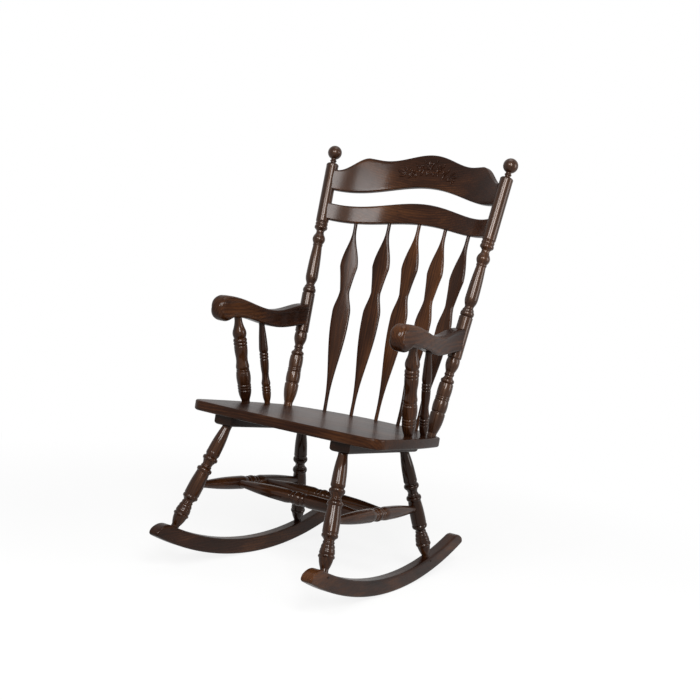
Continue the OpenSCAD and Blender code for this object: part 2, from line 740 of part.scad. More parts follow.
// Along each pin, from its end at the back of the post
module at_rail_pins()
    back_frame() for (up = pin_heights)
        translate([post_x(up) - pin_off, sqrt(pow(upper_post_r(up), 2) - pow(pin_off, 2)) - pin_inset, up])
            rotate([90, 0, 0]) children();

module pin_hole() translate([0, 0, -over]) cylinder(d = pin_d + 2 * fit_gap, h = over + pin_l + fit_gap);

module crest_rail() color(walnut) difference() {
    bowed_rail(
        crest_low, crest_end_h,
        [for (i = [0 : rail_steps]) let (x = edge_x(i, crest_low)) [x, crest_under(x)]],
        [for (i = [0 : rail_steps]) let (x = edge_x(i, crest_low + crest_end_h)) [x, crest_over(x)]]
    );
    both_sides() at_rail_pins() pin_hole();
}

module back_rail() color(walnut) difference() {
    bowed_rail(
        rail_low, rail_end_h,
        [for (i = [0 : rail_steps]) let (x = edge_x(i, rail_low)) [x, rail_under(x)]],
        [for (i = [0 : rail_steps]) let (x = edge_x(i, rail_low + rail_end_h)) [x, rail_over(x)]]
    );
    both_sides() at_rail_pins() pin_hole();
    for (i = slat_places) socket(slat_top(i), slat_foot(i), slat_end_d, slat_top_depth, over);
}

// ---- Slats

// The slats are counted from the chair's centre line, positive to the left
slat_places = [-2 : 2];

function slat_foot(i) =
    let (r = seat_rear_r - slat_inset, a = i * slat_foot_angle)
    on_seat(r * sin(a), rear_centre.y + r * cos(a));

function slat_top(i) =
    let (x = i * slat_top_pitch)
    on_back(x, bow_at(x, rail_low, rail_end_h), rail_under(x));

module slat(i) color(walnut) {
    a = slat_foot(i);
    v = slat_top(i) - a;
    translate(a) rotate([-asin(v.y / norm(v)), atan2(v.x, v.z), 0]) rotate([0, 0, -i * slat_fan])
        intersection() {
            turning(slat_stick, norm(v), slat_foot_depth, slat_top_depth);
            cube([2 * slat_w, slat_t, 3 * norm(v)], center = true);
        }
}

// ---- Arms, arm posts and spindles

arm_throat_y = -105;
arm_dip_y = 48;
arm_belly_y = 69;
// Where the arm leaves the scroll, behind the scroll's middle
arm_lead = 3;
arm_rear_under_z = arm_belly_z + 7;
arm_screw_z = (arm_rear_z + arm_rear_under_z) / 2;
// Where an arm's wood stops, in front of the middle of the post
arm_stop = 12;
arm_rear_y = post_at(arm_screw_z).y - arm_stop;
arm_steps = 16;

function arm_run(y) = ease((y + scroll_y) / (arm_rear_y + scroll_y));
function arm_x(y) = scroll_x + (post_at(arm_screw_z).x - scroll_x) * arm_run(y);
function arm_half(y) = (arm_w + (arm_rear_w - arm_w) * arm_run(y)) / 2;

function arm_over(y) = y < arm_dip_y
    ? scroll_z + scroll_r + (arm_dip_z - scroll_z - scroll_r) * ease((y + scroll_y) / (arm_dip_y + scroll_y))
    : arm_dip_z + (arm_rear_z - arm_dip_z) * ease((y - arm_dip_y) / (arm_rear_y - arm_dip_y));

function arm_under(y) = y < arm_belly_y
    ? arm_throat_z + (arm_belly_z - arm_throat_z) * ease((y - arm_throat_y) / (arm_belly_y - arm_throat_y))
    : arm_belly_z + (arm_rear_under_z - arm_belly_z) * ease((y - arm_belly_y) / (arm_rear_y - arm_belly_y));

// Places along the arm from y = a to y = b
function along_arm(a, b) = [for (i = [0 : arm_steps]) a + (b - a) * i / arm_steps];

module arm_side() {
    translate([-scroll_y, scroll_z]) circle(scroll_r);
    under = [for (y = along_arm(arm_throat_y, arm_belly_y)) [y, arm_under(y)]];
    under_rear = [for (y = along_arm(arm_belly_y, post_at(arm_rear_under_z).y - arm_stop)) [y, arm_under(y)]];
    upper_rear = [for (y = along_arm(post_at(arm_rear_z).y - arm_stop, arm_dip_y)) [y, arm_over(y)]];
    upper = [for (y = along_arm(arm_dip_y, arm_lead - scroll_y)) [y, arm_over(y)]];
    polygon(concat(
        [[arm_lead - scroll_y, arm_throat_z]],
        under,
        [for (i = [1 : arm_steps]) under_rear[i]],
        upper_rear,
        [for (i = [1 : arm_steps]) upper[i]]
    ));
}

module arm_plan() {
    places = along_arm(-scroll_y - 2 * scroll_r, arm_rear_y + over);
    polygon(concat(
        [for (y = places) [arm_x(y) + arm_half(y), y]],
        [for (i = [arm_steps : -1 : 0]) let (y = places[i]) [arm_x(y) - arm_half(y), y]]
    ));
}

// The part of the post that the arm stands against, with its clearance
arm_zone = [232, 353];
arm_zone_d = [post_d * 0.93, upper_post_d];

module arm_clearance() {
    to_finial = post_l / post_stick_l;
    from_to(post_foot, finial) translate([0, 0, arm_zone[0] * to_finial]) cylinder(
        d1 = arm_zone_d[0] + 2 * fit_gap,
        d2 = arm_zone_d[1] + 2 * fit_gap,
        h = (arm_zone[1] - arm_zone[0]) * to_finial
    );
}

// Where the screw's head stands in the post, behind its middle
arm_screw_seat = upper_post_d * 0.3;

module at_arm_screw()
    translate([post_at(arm_screw_z).x, post_at(arm_screw_z).y + arm_screw_seat, arm_screw_z])
        rotate([90, 0, 0]) children();

arm_post_foot = on_seat(arm_post_foot_x, -arm_post_foot_y);
arm_post_top = [arm_x(-arm_post_top_y), -arm_post_top_y, arm_under(-arm_post_top_y)];
spindle_foot = on_seat(spindle_foot_x, spindle_foot_y);
spindle_top = [arm_x(spindle_top_y), spindle_top_y, arm_under(spindle_top_y)];

module arm() color(walnut) difference() {
    intersection() {
        translate([scroll_x, 0, 0]) side_view(3 * over) arm_side();
        linear_extrude(overall_h) arm_plan();
    }
    arm_clearance();
    socket(arm_post_top, arm_post_foot, arm_post_top_d, arm_socket_depth, over);
    socket(spindle_top, spindle_foot, spindle_end_d, arm_socket_depth, over);
    at_arm_screw() screw_hole(arm_screw_l);
}

module arm_post() color(dark_walnut)
    from_to(arm_post_foot, arm_post_top)
        turning(arm_post_stick, norm(arm_post_top - arm_post_foot), arm_socket_depth, arm_socket_depth);

module arm_spindle() color(dark_walnut)
    from_to(spindle_foot, spindle_top)
        turning(spindle_stick, norm(spindle_top - spindle_foot), arm_socket_depth, arm_socket_depth);

// ---- The seat with its sockets

module seat() color(walnut) difference() {
    seat_frame() translate([0, 0, -seat_t]) linear_extrude(seat_t) seat_plan();
    both_sides() {
        socket(post_foot, finial, post_foot_d, post_foot_depth, over);
        socket(arm_post_foot, arm_post_top, arm_post_foot_d, arm_socket_depth, over);
        socket(spindle_foot, spindle_top, spindle_end_d, arm_socket_depth, over);
        at_batten_screws() screw_hole(batten_screw_l);
    }
    for (i = slat_places) socket(slat_foot(i), slat_top(i), slat_end_d, slat_foot_depth, over);
}

// ---- Nodes

module seat_batten_left() batten();
module seat_batten_right() mirror([1, 0, 0]) batten();
module leg_front_left() leg_front();
module leg_front_right() mirror([1, 0, 0]) leg_front();
module leg_rear_left() leg_rear();
module leg_rear_right() mirror([1, 0, 0]) leg_rear();
module rocker_left() rocker();
module rocker_right() mirror([1, 0, 0]) rocker();
module side_stretcher_left() side_stretcher();
module side_stretcher_right() mirror([1, 0, 0]) side_stretcher();
module cross_stretcher_front() cross_stretcher(cross_front);
module cross_stretcher_rear() cross_stretcher(cross_rear);
module back_post_left() back_post();
module back_post_right() mirror([1, 0, 0]) back_post();
module slat_1() slat(-2);
module slat_2() slat(-1);
module slat_3() slat(0);
module slat_4() slat(1);
module slat_5() slat(2);
module arm_left() arm();
module arm_right() mirror([1, 0, 0]) arm();
module arm_post_left() arm_post();
module arm_post_right() mirror([1, 0, 0]) arm_post();
module arm_spindle_left() arm_spindle();
module arm_spindle_right() mirror([1, 0, 0]) arm_spindle();
module batten_screws() color(steel) both_sides() at_batten_screws() screw(batten_screw_l);
module rocker_pins() color(walnut) both_sides() at_leg_pins()
    cylinder(d = pin_d, h = rocker_w - 2 * pin_inset, center = true);
module arm_screws() color(steel) both_sides() at_arm_screw() screw(arm_screw_l);
module rail_pins() color(walnut) both_sides() at_rail_pins() cylinder(d = pin_d, h = pin_l);

seat();
seat_batten_left();
seat_batten_right();
leg_front_left();
leg_front_right();
leg_rear_left();
leg_rear_right();
rocker_left();
rocker_right();
side_stretcher_left();
side_stretcher_right();
cross_stretcher_front();
cross_stretcher_rear();
back_post_left();
back_post_right();
crest_rail();
back_rail();
slat_1();
slat_2();
slat_3();
slat_4();
slat_5();
arm_left();
arm_right();
arm_post_left();
arm_post_right();
arm_spindle_left();
arm_spindle_right();
batten_screws();
rocker_pins();
arm_screws();
rail_pins();
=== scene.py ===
import math

import bmesh
import bpy
import numpy as np
from mathutils import Matrix, Vector


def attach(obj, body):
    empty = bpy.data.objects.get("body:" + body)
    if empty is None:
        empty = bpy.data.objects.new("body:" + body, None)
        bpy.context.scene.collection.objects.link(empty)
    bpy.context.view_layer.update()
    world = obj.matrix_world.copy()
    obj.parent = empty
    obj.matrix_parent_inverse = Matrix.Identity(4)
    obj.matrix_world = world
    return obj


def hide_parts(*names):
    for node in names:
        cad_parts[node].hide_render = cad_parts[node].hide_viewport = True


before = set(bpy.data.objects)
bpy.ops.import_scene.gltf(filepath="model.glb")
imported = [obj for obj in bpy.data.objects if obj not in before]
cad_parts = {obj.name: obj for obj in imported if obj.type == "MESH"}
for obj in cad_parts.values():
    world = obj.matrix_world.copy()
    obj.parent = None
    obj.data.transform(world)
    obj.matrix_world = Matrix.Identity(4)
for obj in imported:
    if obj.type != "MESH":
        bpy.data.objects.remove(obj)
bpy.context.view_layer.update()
print("frame loaded")

# The camera first. Its three axes are worked out from its bearing, its height angle and a roll.
view = {
    "place": (1.903, -2.876, 0.994),
    "bearing": 33.0,
    "height": 5.9,
    "roll": 6.3,
    "lens": 63.8,
    "sensor": 36,
    "reach": 60,
}
bearing, height, roll = (math.radians(view[key]) for key in ("bearing", "height", "roll"))
backward = Vector(
    (math.sin(bearing) * math.cos(height), -math.cos(bearing) * math.cos(height), math.sin(height))
)
across = Vector((math.cos(bearing), math.sin(bearing), 0))
upward = backward.cross(across)
rolledAcross = across * math.cos(roll) + upward * math.sin(roll)
rolledUp = upward * math.cos(roll) - across * math.sin(roll)
cameraData = bpy.data.cameras.new("studioCamera")
cameraData.lens = view["lens"]
cameraData.sensor_width = view["sensor"]
cameraData.clip_end = view["reach"]
cameraObject = bpy.data.objects.new("studioCamera", cameraData)
turned = Matrix((rolledAcross, rolledUp, backward)).transposed().to_4x4()
cameraObject.matrix_world = Matrix.Translation(view["place"]) @ turned
bpy.context.scene.collection.objects.link(cameraObject)
bpy.context.scene.camera = cameraObject


# ease runs from 0 to 1 along half a cosine wave, level at both ends.
def ease(t):
    t = np.clip(t, 0, 1)
    return (1 - np.cos(np.pi * t)) / 2


# A vector, or each of a row of vectors, divided by its own length.
def unit(v):
    v = np.asarray(v, float)
    return v / np.linalg.norm(v, axis=-1, keepdims=True)


# The matrix that turns points by an angle about the X, Y or Z axis.
def rotation(axis, angle):
    return np.array(Matrix.Rotation(angle, 3, axis))


# Where two circles cross, by the law of cosines. `side` is 1 for the crossing to the left of the line
# from the first middle to the second, and -1 for the other.
def crossing(first, firstR, second, secondR, side):
    apart = np.linalg.norm(second - first)
    along = (firstR * firstR - secondR * secondR + apart * apart) / (2 * apart)
    off = math.sqrt(firstR * firstR - along * along)
    line = (second - first) / apart
    return first + along * line + side * off * np.array([-line[1], line[0]])


# A mesh piece from points in millimetres and faces, its faces turned outwards. Edges sharper than
# `sharp` degrees stay crisp.
def addPiece(name, points, faces, material, node=None, slot="turned_wood", sharp=38):
    mesh = bpy.data.meshes.new(name)
    mesh.from_pydata((np.asarray(points) / 1000).tolist(), [], faces)
    work = bmesh.new()
    work.from_mesh(mesh)
    bmesh.ops.recalc_face_normals(work, faces=work.faces)
    work.to_mesh(mesh)
    work.free()
    mesh.shade_smooth()
    mesh.set_sharp_from_angle(angle=math.radians(sharp))
    mesh.materials.append(material)
    piece = bpy.data.objects.new(name, mesh)
    bpy.context.scene.collection.objects.link(piece)
    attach(piece, "root")
    if node:
        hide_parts(node)
    return piece


# The skin over rings of points, an array of stations by places round by 3: quads between neighbouring
# rings, and at each end a fan on the ring's middle point. Its points are counted from `start`.
def skin(rings, start=0):
    stations, around, _ = rings.shape
    row = np.arange(stations - 1)[:, None] * around
    here = np.arange(around)[None]
    following = (here + 1) % around
    quads = np.stack([row + here, row + following, row + around + following, row + around + here], -1)
    firstMiddle = stations * around
    firstFan = np.stack([np.full(around, firstMiddle), following[0], here[0]], -1)
    lastRow = (stations - 1) * around
    lastFan = np.stack([np.full(around, firstMiddle + 1), lastRow + here[0], lastRow + following[0]], -1)
    points = np.concatenate([rings.reshape(-1, 3), rings[0].mean(0)[None], rings[-1].mean(0)[None]])
    faces = [tuple(f) for f in (quads.reshape(-1, 4) + start).tolist()]
    faces += [tuple(f) for f in (np.concatenate([firstFan, lastFan]) + start).tolist()]
    return points, faces


# Several skins in one piece.
def skins(ringSets):
    points, faces, start = [], [], 0
    for rings in ringSets:
        p, f = skin(rings, start)
        points.append(p)
        faces += f
        start += len(p)
    return np.concatenate(points), faces


# The measures that several pieces share, in millimetres and degrees. Pairs give the front value first,
# except for the rails, where the lower rail comes first.
chair = {
    "height": 1219,
    "width": 648,
    "depth": 838,
    "seatHeight": 437,
    "seatSlope": 5,
    "seatThickness": 28,
    "battenThickness": 27,
    "legFootX": (249, 230.5),
    "legFootY": (336.5, 219),
    "legTopX": (193, 178.5),
    "legTopY": (217, 120),
    "postFootX": 250,
    "postFootY": 132,
    "railBow": 90,
    "railThickness": 20,
    "railShare": (0.7436, 0.8645),
    "crestEnd": 62,
    "crestShoulder": 58.5,
    "crestHump": 36.5,
    "finial": 43,
}
slope = math.radians(chair["seatSlope"])
sides = (("left", 1), ("right", -1))


# A point on the seat's plane: across, back along the seat and down from its top face, turned by the
# seat's slope about the X axis and raised to its height.
def onSeat(x, y, drop=0):
    x, y = np.broadcast_arrays(np.asarray(x, float), np.asarray(y, float))
    back = y * math.cos(slope) - drop * math.sin(slope)
    up = chair["seatHeight"] - y * math.sin(slope) - drop * math.cos(slope)
    return np.stack([x, back, up], -1)


# The back leans as far as the depth allows: the crest's rear face, at its top, ends above the rear tips
# of the rockers.
postFoot = onSeat(chair["postFootX"], chair["postFootY"])
backLow, crestLow = (share * (chair["height"] - chair["seatHeight"]) for share in chair["railShare"])
crestTop = crestLow + chair["crestEnd"] + chair["crestShoulder"] + chair["crestHump"]
backReach = chair["railBow"] + chair["railThickness"] / 2
crestReach = math.hypot(backReach, crestTop)
rake = math.atan2(crestTop, backReach) - math.acos((chair["depth"] / 2 - postFoot[1]) / crestReach)
finialZ = chair["height"] - chair["finial"] / 2
finialY = postFoot[1] + (finialZ - postFoot[2]) * math.tan(rake)
finial = np.array([(chair["width"] - chair["finial"]) / 2, finialY, finialZ])
finialUp = (finial[2] - postFoot[2]) / math.cos(rake)


# A point in the raked back: across, behind the posts, and up along the back.
def onBack(x, behind, up):
    x, behind, up = np.broadcast_arrays(x, behind, up)
    y = postFoot[1] + behind * math.cos(rake) + up * math.sin(rake)
    z = postFoot[2] - behind * math.sin(rake) + up * math.cos(rake)
    return np.stack([x, y, z], -1)


# Distance of a post's middle from the centre line: a straight slant from its foot to its finial.
def postX(up):
    return chair["postFootX"] + (finial[0] - chair["postFootX"]) * up / finialUp


# A place on a post's middle at a height above the floor, on the straight line from foot to finial.
def postAt(z):
    return postFoot + (finial - postFoot) * (z - postFoot[2]) / (finial[2] - postFoot[2])


print("measures ready, the back leans", round(math.degrees(rake), 2), "degrees")


# One node added to a material or a world, with its values set by input name or as settings.
def addNode(owner, kind, **values):
    node = owner.node_tree.nodes.new(kind)
    for key, value in values.items():
        if key in node.inputs:
            node.inputs[key].default_value = value
        else:
            setattr(node, key, value)
    return node


# A Map Range node fed by a socket: `limits` are the range taken and the range given.
def mapped(material, source, limits, **values):
    node = addNode(material, "ShaderNodeMapRange", **values)
    for key, value in zip(("From Min", "From Max", "To Min", "To Max"), limits):
        node.inputs[key].default_value = value
    material.node_tree.links.new(source, node.inputs["Value"])
    return node.outputs["Result"]


# A fixed share of the second value mixed into the first.
def mixed(material, share, first, second):
    node = addNode(material, "ShaderNodeMix", data_type="FLOAT", Factor=share)
    material.node_tree.links.new(first, node.inputs[2])
    material.node_tree.links.new(second, node.inputs[3])
    return node.outputs[0]


# 1 for a ray of any of the given kinds and 0 for every other ray.
def anyRay(owner, kinds):
    path = addNode(owner, "ShaderNodeLightPath")
    found = path.outputs[kinds[0]]
    for kind in kinds[1:]:
        larger = addNode(owner, "ShaderNodeMath", operation="MAXIMUM")
        owner.node_tree.links.new(found, larger.inputs[0])
        owner.node_tree.links.new(path.outputs[kind], larger.inputs[1])
        found = larger.outputs[0]
    return found


# Stained and lacquered walnut. Patterns are given as (scale, detail, stretch along the grain), the pores'
# shade and the roughness as the limits of a map, and the ripple and the grooves as (strength, depth).
# The last four are the kinds of polish: how much the wood itself shines, and the lacquer's weight and
# roughness.
finish = {
    "shade": (0.0045, 0.0014, 0.0007),
    "body": (0.0155, 0.0047, 0.0018),
    "glow": (0.056, 0.0195, 0.0058),
    "tonesAt": (0.30, 0.50, 0.72),
    "clouds": (11.0, 4.0, 0.30),
    "rings": (46.0, 3.0, 0.10),
    "ringWaver": (5.0, 1.4),
    "ringShare": 0.09,
    "streaks": (150.0, 3.0, 0.03),
    "streakShare": 0.20,
    "pores": (620.0, 2.0, 0.025),
    "poreShade": (0.36, 0.52, 0.55, 1.0),
    "ripple": (0.05, 0.0006),
    "grooves": (0.03, 0.0003),
    "roughness": (0.3, 0.7, 0.36, 0.48),
    "sheenTint": (1.0, 0.56, 0.32),
    "woodBend": 1.45,
    "lacquerBend": 1.5,
    "boards": (0.06, 0.19, 0.15),
    "turnings": (0.09, 0.29, 0.08),
    "posts": (0.24, 0.30, 0.13),
    "seat": (0.06, 0.13, 0.19),
}
# Painted shade: rounded edges darken to under half their colour, for the dark outlines that shading gives
# them.
paintedEdgeShade = (0.50, 0.60, 1.0, 0.45)
# The carving's colour: hollows darken to an eighth, partly stain and partly painted shade, and ridges lighten
# to more than twice, partly rub-through and partly painted highlight.
carvedWearAndPaintedLight = (0.42, 0.62, 0.12, 2.4)


# The pattern lives in a turned copy of the object's coordinates whose Z runs along the grain: broad
# clouds and growth rings stretched along it, and fine pores as long thin streaks. A map from how hollow
# or ridged the surface is to how light the wood is there paints light and shade: the rounded edges darken
# as painted shade, and on the carving the hollows darken with stain and painted shade and the ridges
# lighten with rub-through and painted highlights.
def walnut(name, grain, lift=1.0, offset=(0, 0, 0), paintedLightAndWear=paintedEdgeShade, polish="boards"):
    material = bpy.data.materials.new(name)
    material.use_nodes = True
    links = material.node_tree.links
    shader = material.node_tree.nodes["Principled BSDF"]
    coords = addNode(material, "ShaderNodeTexCoord")
    turn = addNode(material, "ShaderNodeMapping")
    turn.inputs["Rotation"].default_value = Vector(grain).rotation_difference(Vector((0, 0, 1))).to_euler()
    turn.inputs["Location"].default_value = offset
    links.new(coords.outputs["Object"], turn.inputs["Vector"])

    # A texture on the turned coordinates, stretched along the grain by its share.
    def pattern(label, kind="ShaderNodeTexNoise", **values):
        scale, detail, stretch = finish[label]
        texture = addNode(material, kind, Scale=scale, Detail=detail, **values)
        squeeze = addNode(material, "ShaderNodeMapping")
        squeeze.inputs["Scale"].default_value = (1, 1, stretch)
        links.new(turn.outputs["Vector"], squeeze.inputs["Vector"])
        links.new(squeeze.outputs["Vector"], texture.inputs["Vector"])
        return texture

    clouds = pattern("clouds", Roughness=0.55).outputs["Fac"]
    rings = pattern("rings", "ShaderNodeTexWave", wave_type="RINGS", rings_direction="Z")
    rings.inputs["Distortion"].default_value, rings.inputs["Detail Scale"].default_value = finish["ringWaver"]
    pores = pattern("pores", Roughness=0.6).outputs["Fac"]
    streaks = pattern("streaks", Roughness=0.6).outputs["Fac"]

    tone = addNode(material, "ShaderNodeValToRGB")
    stops = tone.color_ramp.elements
    stops.new(finish["tonesAt"][1])
    lifts = (1, lift, lift)
    for stop, place, label, share in zip(stops, finish["tonesAt"], ("shade", "body", "glow"), lifts):
        stop.position = place
        stop.color = (*(c * share for c in finish[label]), 1)
    ringed = mixed(material, finish["ringShare"], clouds, rings.outputs["Fac"])
    figure = mixed(material, finish["streakShare"], ringed, streaks)
    links.new(figure, tone.inputs["Fac"])

    poreShade = mapped(material, pores, finish["poreShade"])
    # The surface's pointiness scales the colour: painted shade on the rounded edges, and on the carving
    # painted shade and highlights along with stain and rub-through.
    ridge = addNode(material, "ShaderNodeNewGeometry")
    shading = addNode(material, "ShaderNodeMath", operation="MULTIPLY")
    links.new(poreShade, shading.inputs[0])
    links.new(mapped(material, ridge.outputs["Pointiness"], paintedLightAndWear), shading.inputs[1])
    tint = addNode(material, "ShaderNodeVectorMath", operation="SCALE")
    links.new(tone.outputs["Color"], tint.inputs[0])
    links.new(shading.outputs[0], tint.inputs["Scale"])
    links.new(tint.outputs[0], shader.inputs["Base Color"])
    links.new(mapped(material, streaks, finish["roughness"]), shader.inputs["Roughness"])

    strength, depth = finish["ripple"]
    ripple = addNode(material, "ShaderNodeBump", Strength=strength, Distance=depth)
    links.new(figure, ripple.inputs["Height"])
    strength, depth = finish["grooves"]
    grooves = addNode(material, "ShaderNodeBump", Strength=strength, Distance=depth)
    links.new(poreShade, grooves.inputs["Height"])
    links.new(ripple.outputs["Normal"], grooves.inputs["Normal"])
    links.new(grooves.outputs["Normal"], shader.inputs["Normal"])
    sheen, lacquer, lacquerRoughness = finish[polish]
    shader.inputs["IOR"].default_value = finish["woodBend"]
    shader.inputs["Specular IOR Level"].default_value = sheen
    shader.inputs["Specular Tint"].default_value = (*finish["sheenTint"], 1)
    shader.inputs["Coat Weight"].default_value = lacquer
    shader.inputs["Coat Roughness"].default_value = lacquerRoughness
    shader.inputs["Coat IOR"].default_value = finish["lacquerBend"]
    return material


zinc = {
    "dark": (0.30, 0.29, 0.27),
    "bright": (0.58, 0.57, 0.54),
    "grain": 900.0,
    "roughness": (0, 1, 0.28, 0.5),
}


# Zinc-plated steel: a metal whose tone and roughness vary with fine noise.
def zincSteel(name):
    material = bpy.data.materials.new(name)
    material.use_nodes = True
    links = material.node_tree.links
    shader = material.node_tree.nodes["Principled BSDF"]
    coords = addNode(material, "ShaderNodeTexCoord")
    noise = addNode(material, "ShaderNodeTexNoise", Scale=zinc["grain"], Detail=3.0)
    links.new(coords.outputs["Object"], noise.inputs["Vector"])
    tone = addNode(material, "ShaderNodeValToRGB")
    tone.color_ramp.elements[0].color = (*zinc["dark"], 1)
    tone.color_ramp.elements[1].color = (*zinc["bright"], 1)
    links.new(noise.outputs["Fac"], tone.inputs["Fac"])
    links.new(tone.outputs["Color"], shader.inputs["Base Color"])
    links.new(mapped(material, noise.outputs["Fac"], zinc["roughness"]), shader.inputs["Roughness"])
    shader.inputs["Metallic"].default_value = 1
    return material


# How finely the turned pieces are made: points round, millimetres between stations, points in each run
# of a stick's list, and the width of the smoothing curve and how many stations it reaches.
turning = {"around": 56, "step": 0.8, "runPoints": 25, "soften": 0.8, "softenReach": 4}


# The radius of a stick at places along it. Each stick lists [distance along, diameter, bulge of the run
# that ends there, kind of run]: the radius slopes from one to the next, plus half a sine wave as high
# as the bulge. A bead's points crowd to its ends, which rounds it to half an ellipse, and an ease runs
# from one diameter to the next in a soft S.
def stickRadii(stick, length, places):
    stretch = length / stick[-1][0]
    t = np.linspace(0, 1, turning["runPoints"])[1:]
    along, radius = [np.array([stick[0][0]])], [np.array([stick[0][1] / 2])]
    for before, run in zip(stick[:-1], stick[1:]):
        kind = run[3] if len(run) > 3 else None
        along.append(before[0] + (run[0] - before[0]) * (ease(t) if kind == "bead" else t))
        blend = ease(t) if kind else t
        radius.append((before[1] + (run[1] - before[1]) * blend) / 2 + run[2] * np.sin(np.pi * t))
    return np.interp(places, np.concatenate(along) * stretch, np.concatenate(radius))


# Radii smoothed along the stick with a narrow bell curve, weighed by its sum.
def softened(radii):
    reach = turning["softenReach"]
    bell = np.exp(-0.5 * (np.arange(-reach, reach + 1) / turning["soften"]) ** 2)
    padded = np.concatenate([np.full(reach, radii[0]), radii, np.full(reach, radii[-1])])
    return np.convolve(padded, bell / bell.sum(), "valid")


# A round solid from a towards b: at each place along the axis a circle of that place's radius, on two
# directions square to the axis. They are found from one that no stick runs along.
def revolve(a, b, places, radii):
    axis = unit(b - a)
    side = unit(np.cross(axis, [0.0, 1.0, 0.03]))
    other = np.cross(axis, side)
    angle = np.linspace(0, 2 * np.pi, turning["around"], endpoint=False)
    circle = np.cos(angle)[:, None] * side + np.sin(angle)[:, None] * other
    return a + places[:, None, None] * axis + radii[:, None, None] * circle[None]


# A whole turned stick between a and b, running `startIn` and `endIn` past them into its sockets.
def turnedStick(stick, a, b, startIn, endIn):
    length = np.linalg.norm(b - a)
    places = np.arange(0, length, turning["step"])
    places = np.append(places, length)
    radii = softened(stickRadii(stick, length, places))
    places = np.concatenate([[-startIn], places, [length + endIn]])
    radii = np.concatenate([radii[:1], radii, radii[-1:]])
    return revolve(a, b, places, radii)


# Legs, from the batten down to the rocker. Above each turned piece's list stand its main diameters.
legD, legTop, legFoot = 43, 26, 22
leg = {
    "socketTop": 20,
    "socketFoot": 16,
    "stick": [
        [0, legTop], [9, legTop, 0], [86, legD * 0.89, 1.5], [99, legD * 0.76, 1.5],
        [101, legD * 0.84, 0], [113, legD * 0.84, 3.5, "bead"], [128, legD * 0.62, -1],
        [134, legD * 0.66, 1.6, "bead"], [137, legD * 0.84, 0], [149, legD * 0.84, 3.5, "bead"],
        [151, legD * 0.85, 0], [221, legD * 0.98, 1.2], [223, legD * 0.88, 0],
        [234, legD * 0.88, 2.8, "bead"], [243, legD * 0.62, -1], [249, legD * 0.68, 1.5, "bead"],
        [251, legD * 0.7, 0], [261, legD * 0.84, 1], [262.5, legD * 0.8, 0],
        [270, legD * 0.88, 1.2, "bead"], [279, legD * 0.86, 1.6, "bead"], [280, legD * 0.86, 0],
        [289, legD * 0.88, 3, "bead"], [318, legFoot, 1.2], [325, legFoot, 0],
    ],
}
# Rockers, on whose upper edges the legs stand. `balance` is how far behind the middle the lowest point
# lies, under the chair's weight, and `nose` and `tip` are the radii that round the ends.
rocker = {
    "radius": 1030,
    "depth": 44,
    "width": 34,
    "balance": 40.7,
    "nose": 50,
    "tip": 9,
    "edge": 5.5,
    "thinnest": 0.4,
    "taper": 0.22,
    "taperUnder": 22,
    "evenPart": 0.84,
    "evenSteps": 70,
    "tipSteps": 60,
}
toe = math.atan2(chair["legFootX"][0] - chair["legFootX"][1], sum(chair["legFootY"]))


# Height of a rocker's upper edge above the floor at a distance along the chair: a point of the inner
# circle, whose middle stands over the balance point.
def rockerTop(y):
    inner = rocker["radius"] - rocker["depth"]
    return rocker["radius"] - np.sqrt(inner**2 - ((y - rocker["balance"]) / math.cos(toe)) ** 2)


underBatten = chair["seatThickness"] + chair["battenThickness"]
legTops, legFeet = [], []
for number, way in enumerate((-1, 1)):
    topX, topY, footX, footY = (chair[key][number] for key in ("legTopX", "legTopY", "legFootX", "legFootY"))
    legTops.append(onSeat(topX, way * topY, underBatten))
    legFeet.append(np.array([footX, way * footY, rockerTop(way * footY)]))
for end, top, foot in zip(("front", "rear"), legTops, legFeet):
    for side, flip in sides:
        a, b = top * [flip, 1, 1], foot * [flip, 1, 1]
        rings = turnedStick(leg["stick"], a, b, leg["socketTop"], leg["socketFoot"])
        material = walnut(f"legWalnut_{end}_{side}", b - a, 0.8, (0.31 * flip, 0.2, 0.1), polish="turnings")
        addPiece(f"turned_leg_{end}_{side}", *skin(rings), material, f"leg_{end}_{side}")
print("legs turned")

# Stretchers: one between each front and rear leg, and two across between those. The list is worked out
# for half a stretcher and turned round for the other half.
stretcherD, stretcherEnd, stretcherL = 39, 21, 300
stretcherHalf = [
    [0, stretcherEnd], [10, stretcherEnd, 0], [112, stretcherD * 0.97, 2],
    [132, stretcherD * 0.85, 1.2], [133.5, stretcherD * 0.76, 0], [143, stretcherD * 0.76, 2.8, "bead"],
]
stretcher = {
    "drop": 181,
    "crossAt": 0.365,
    "legGap": legD * 0.46,
    "crossGap": stretcherD * 0.45,
    "intoGap": 0.55,
    "stick": stretcherHalf
    + [[157, stretcherD * 0.76, 4.5, "bead"]]
    + [[stretcherL - h[0], h[1], *n[2:]] for h, n in zip(stretcherHalf[-2::-1], stretcherHalf[:0:-1])],
}


# A stretcher's turning starts and stops a gap out from the middles that it joins, and its tenons run
# over half of that gap inwards.
def stretcherRings(a, b, gap):
    axis, into = unit(b - a), gap * stretcher["intoGap"]
    return turnedStick(stretcher["stick"], a + axis * gap, b - axis * gap, into, into)


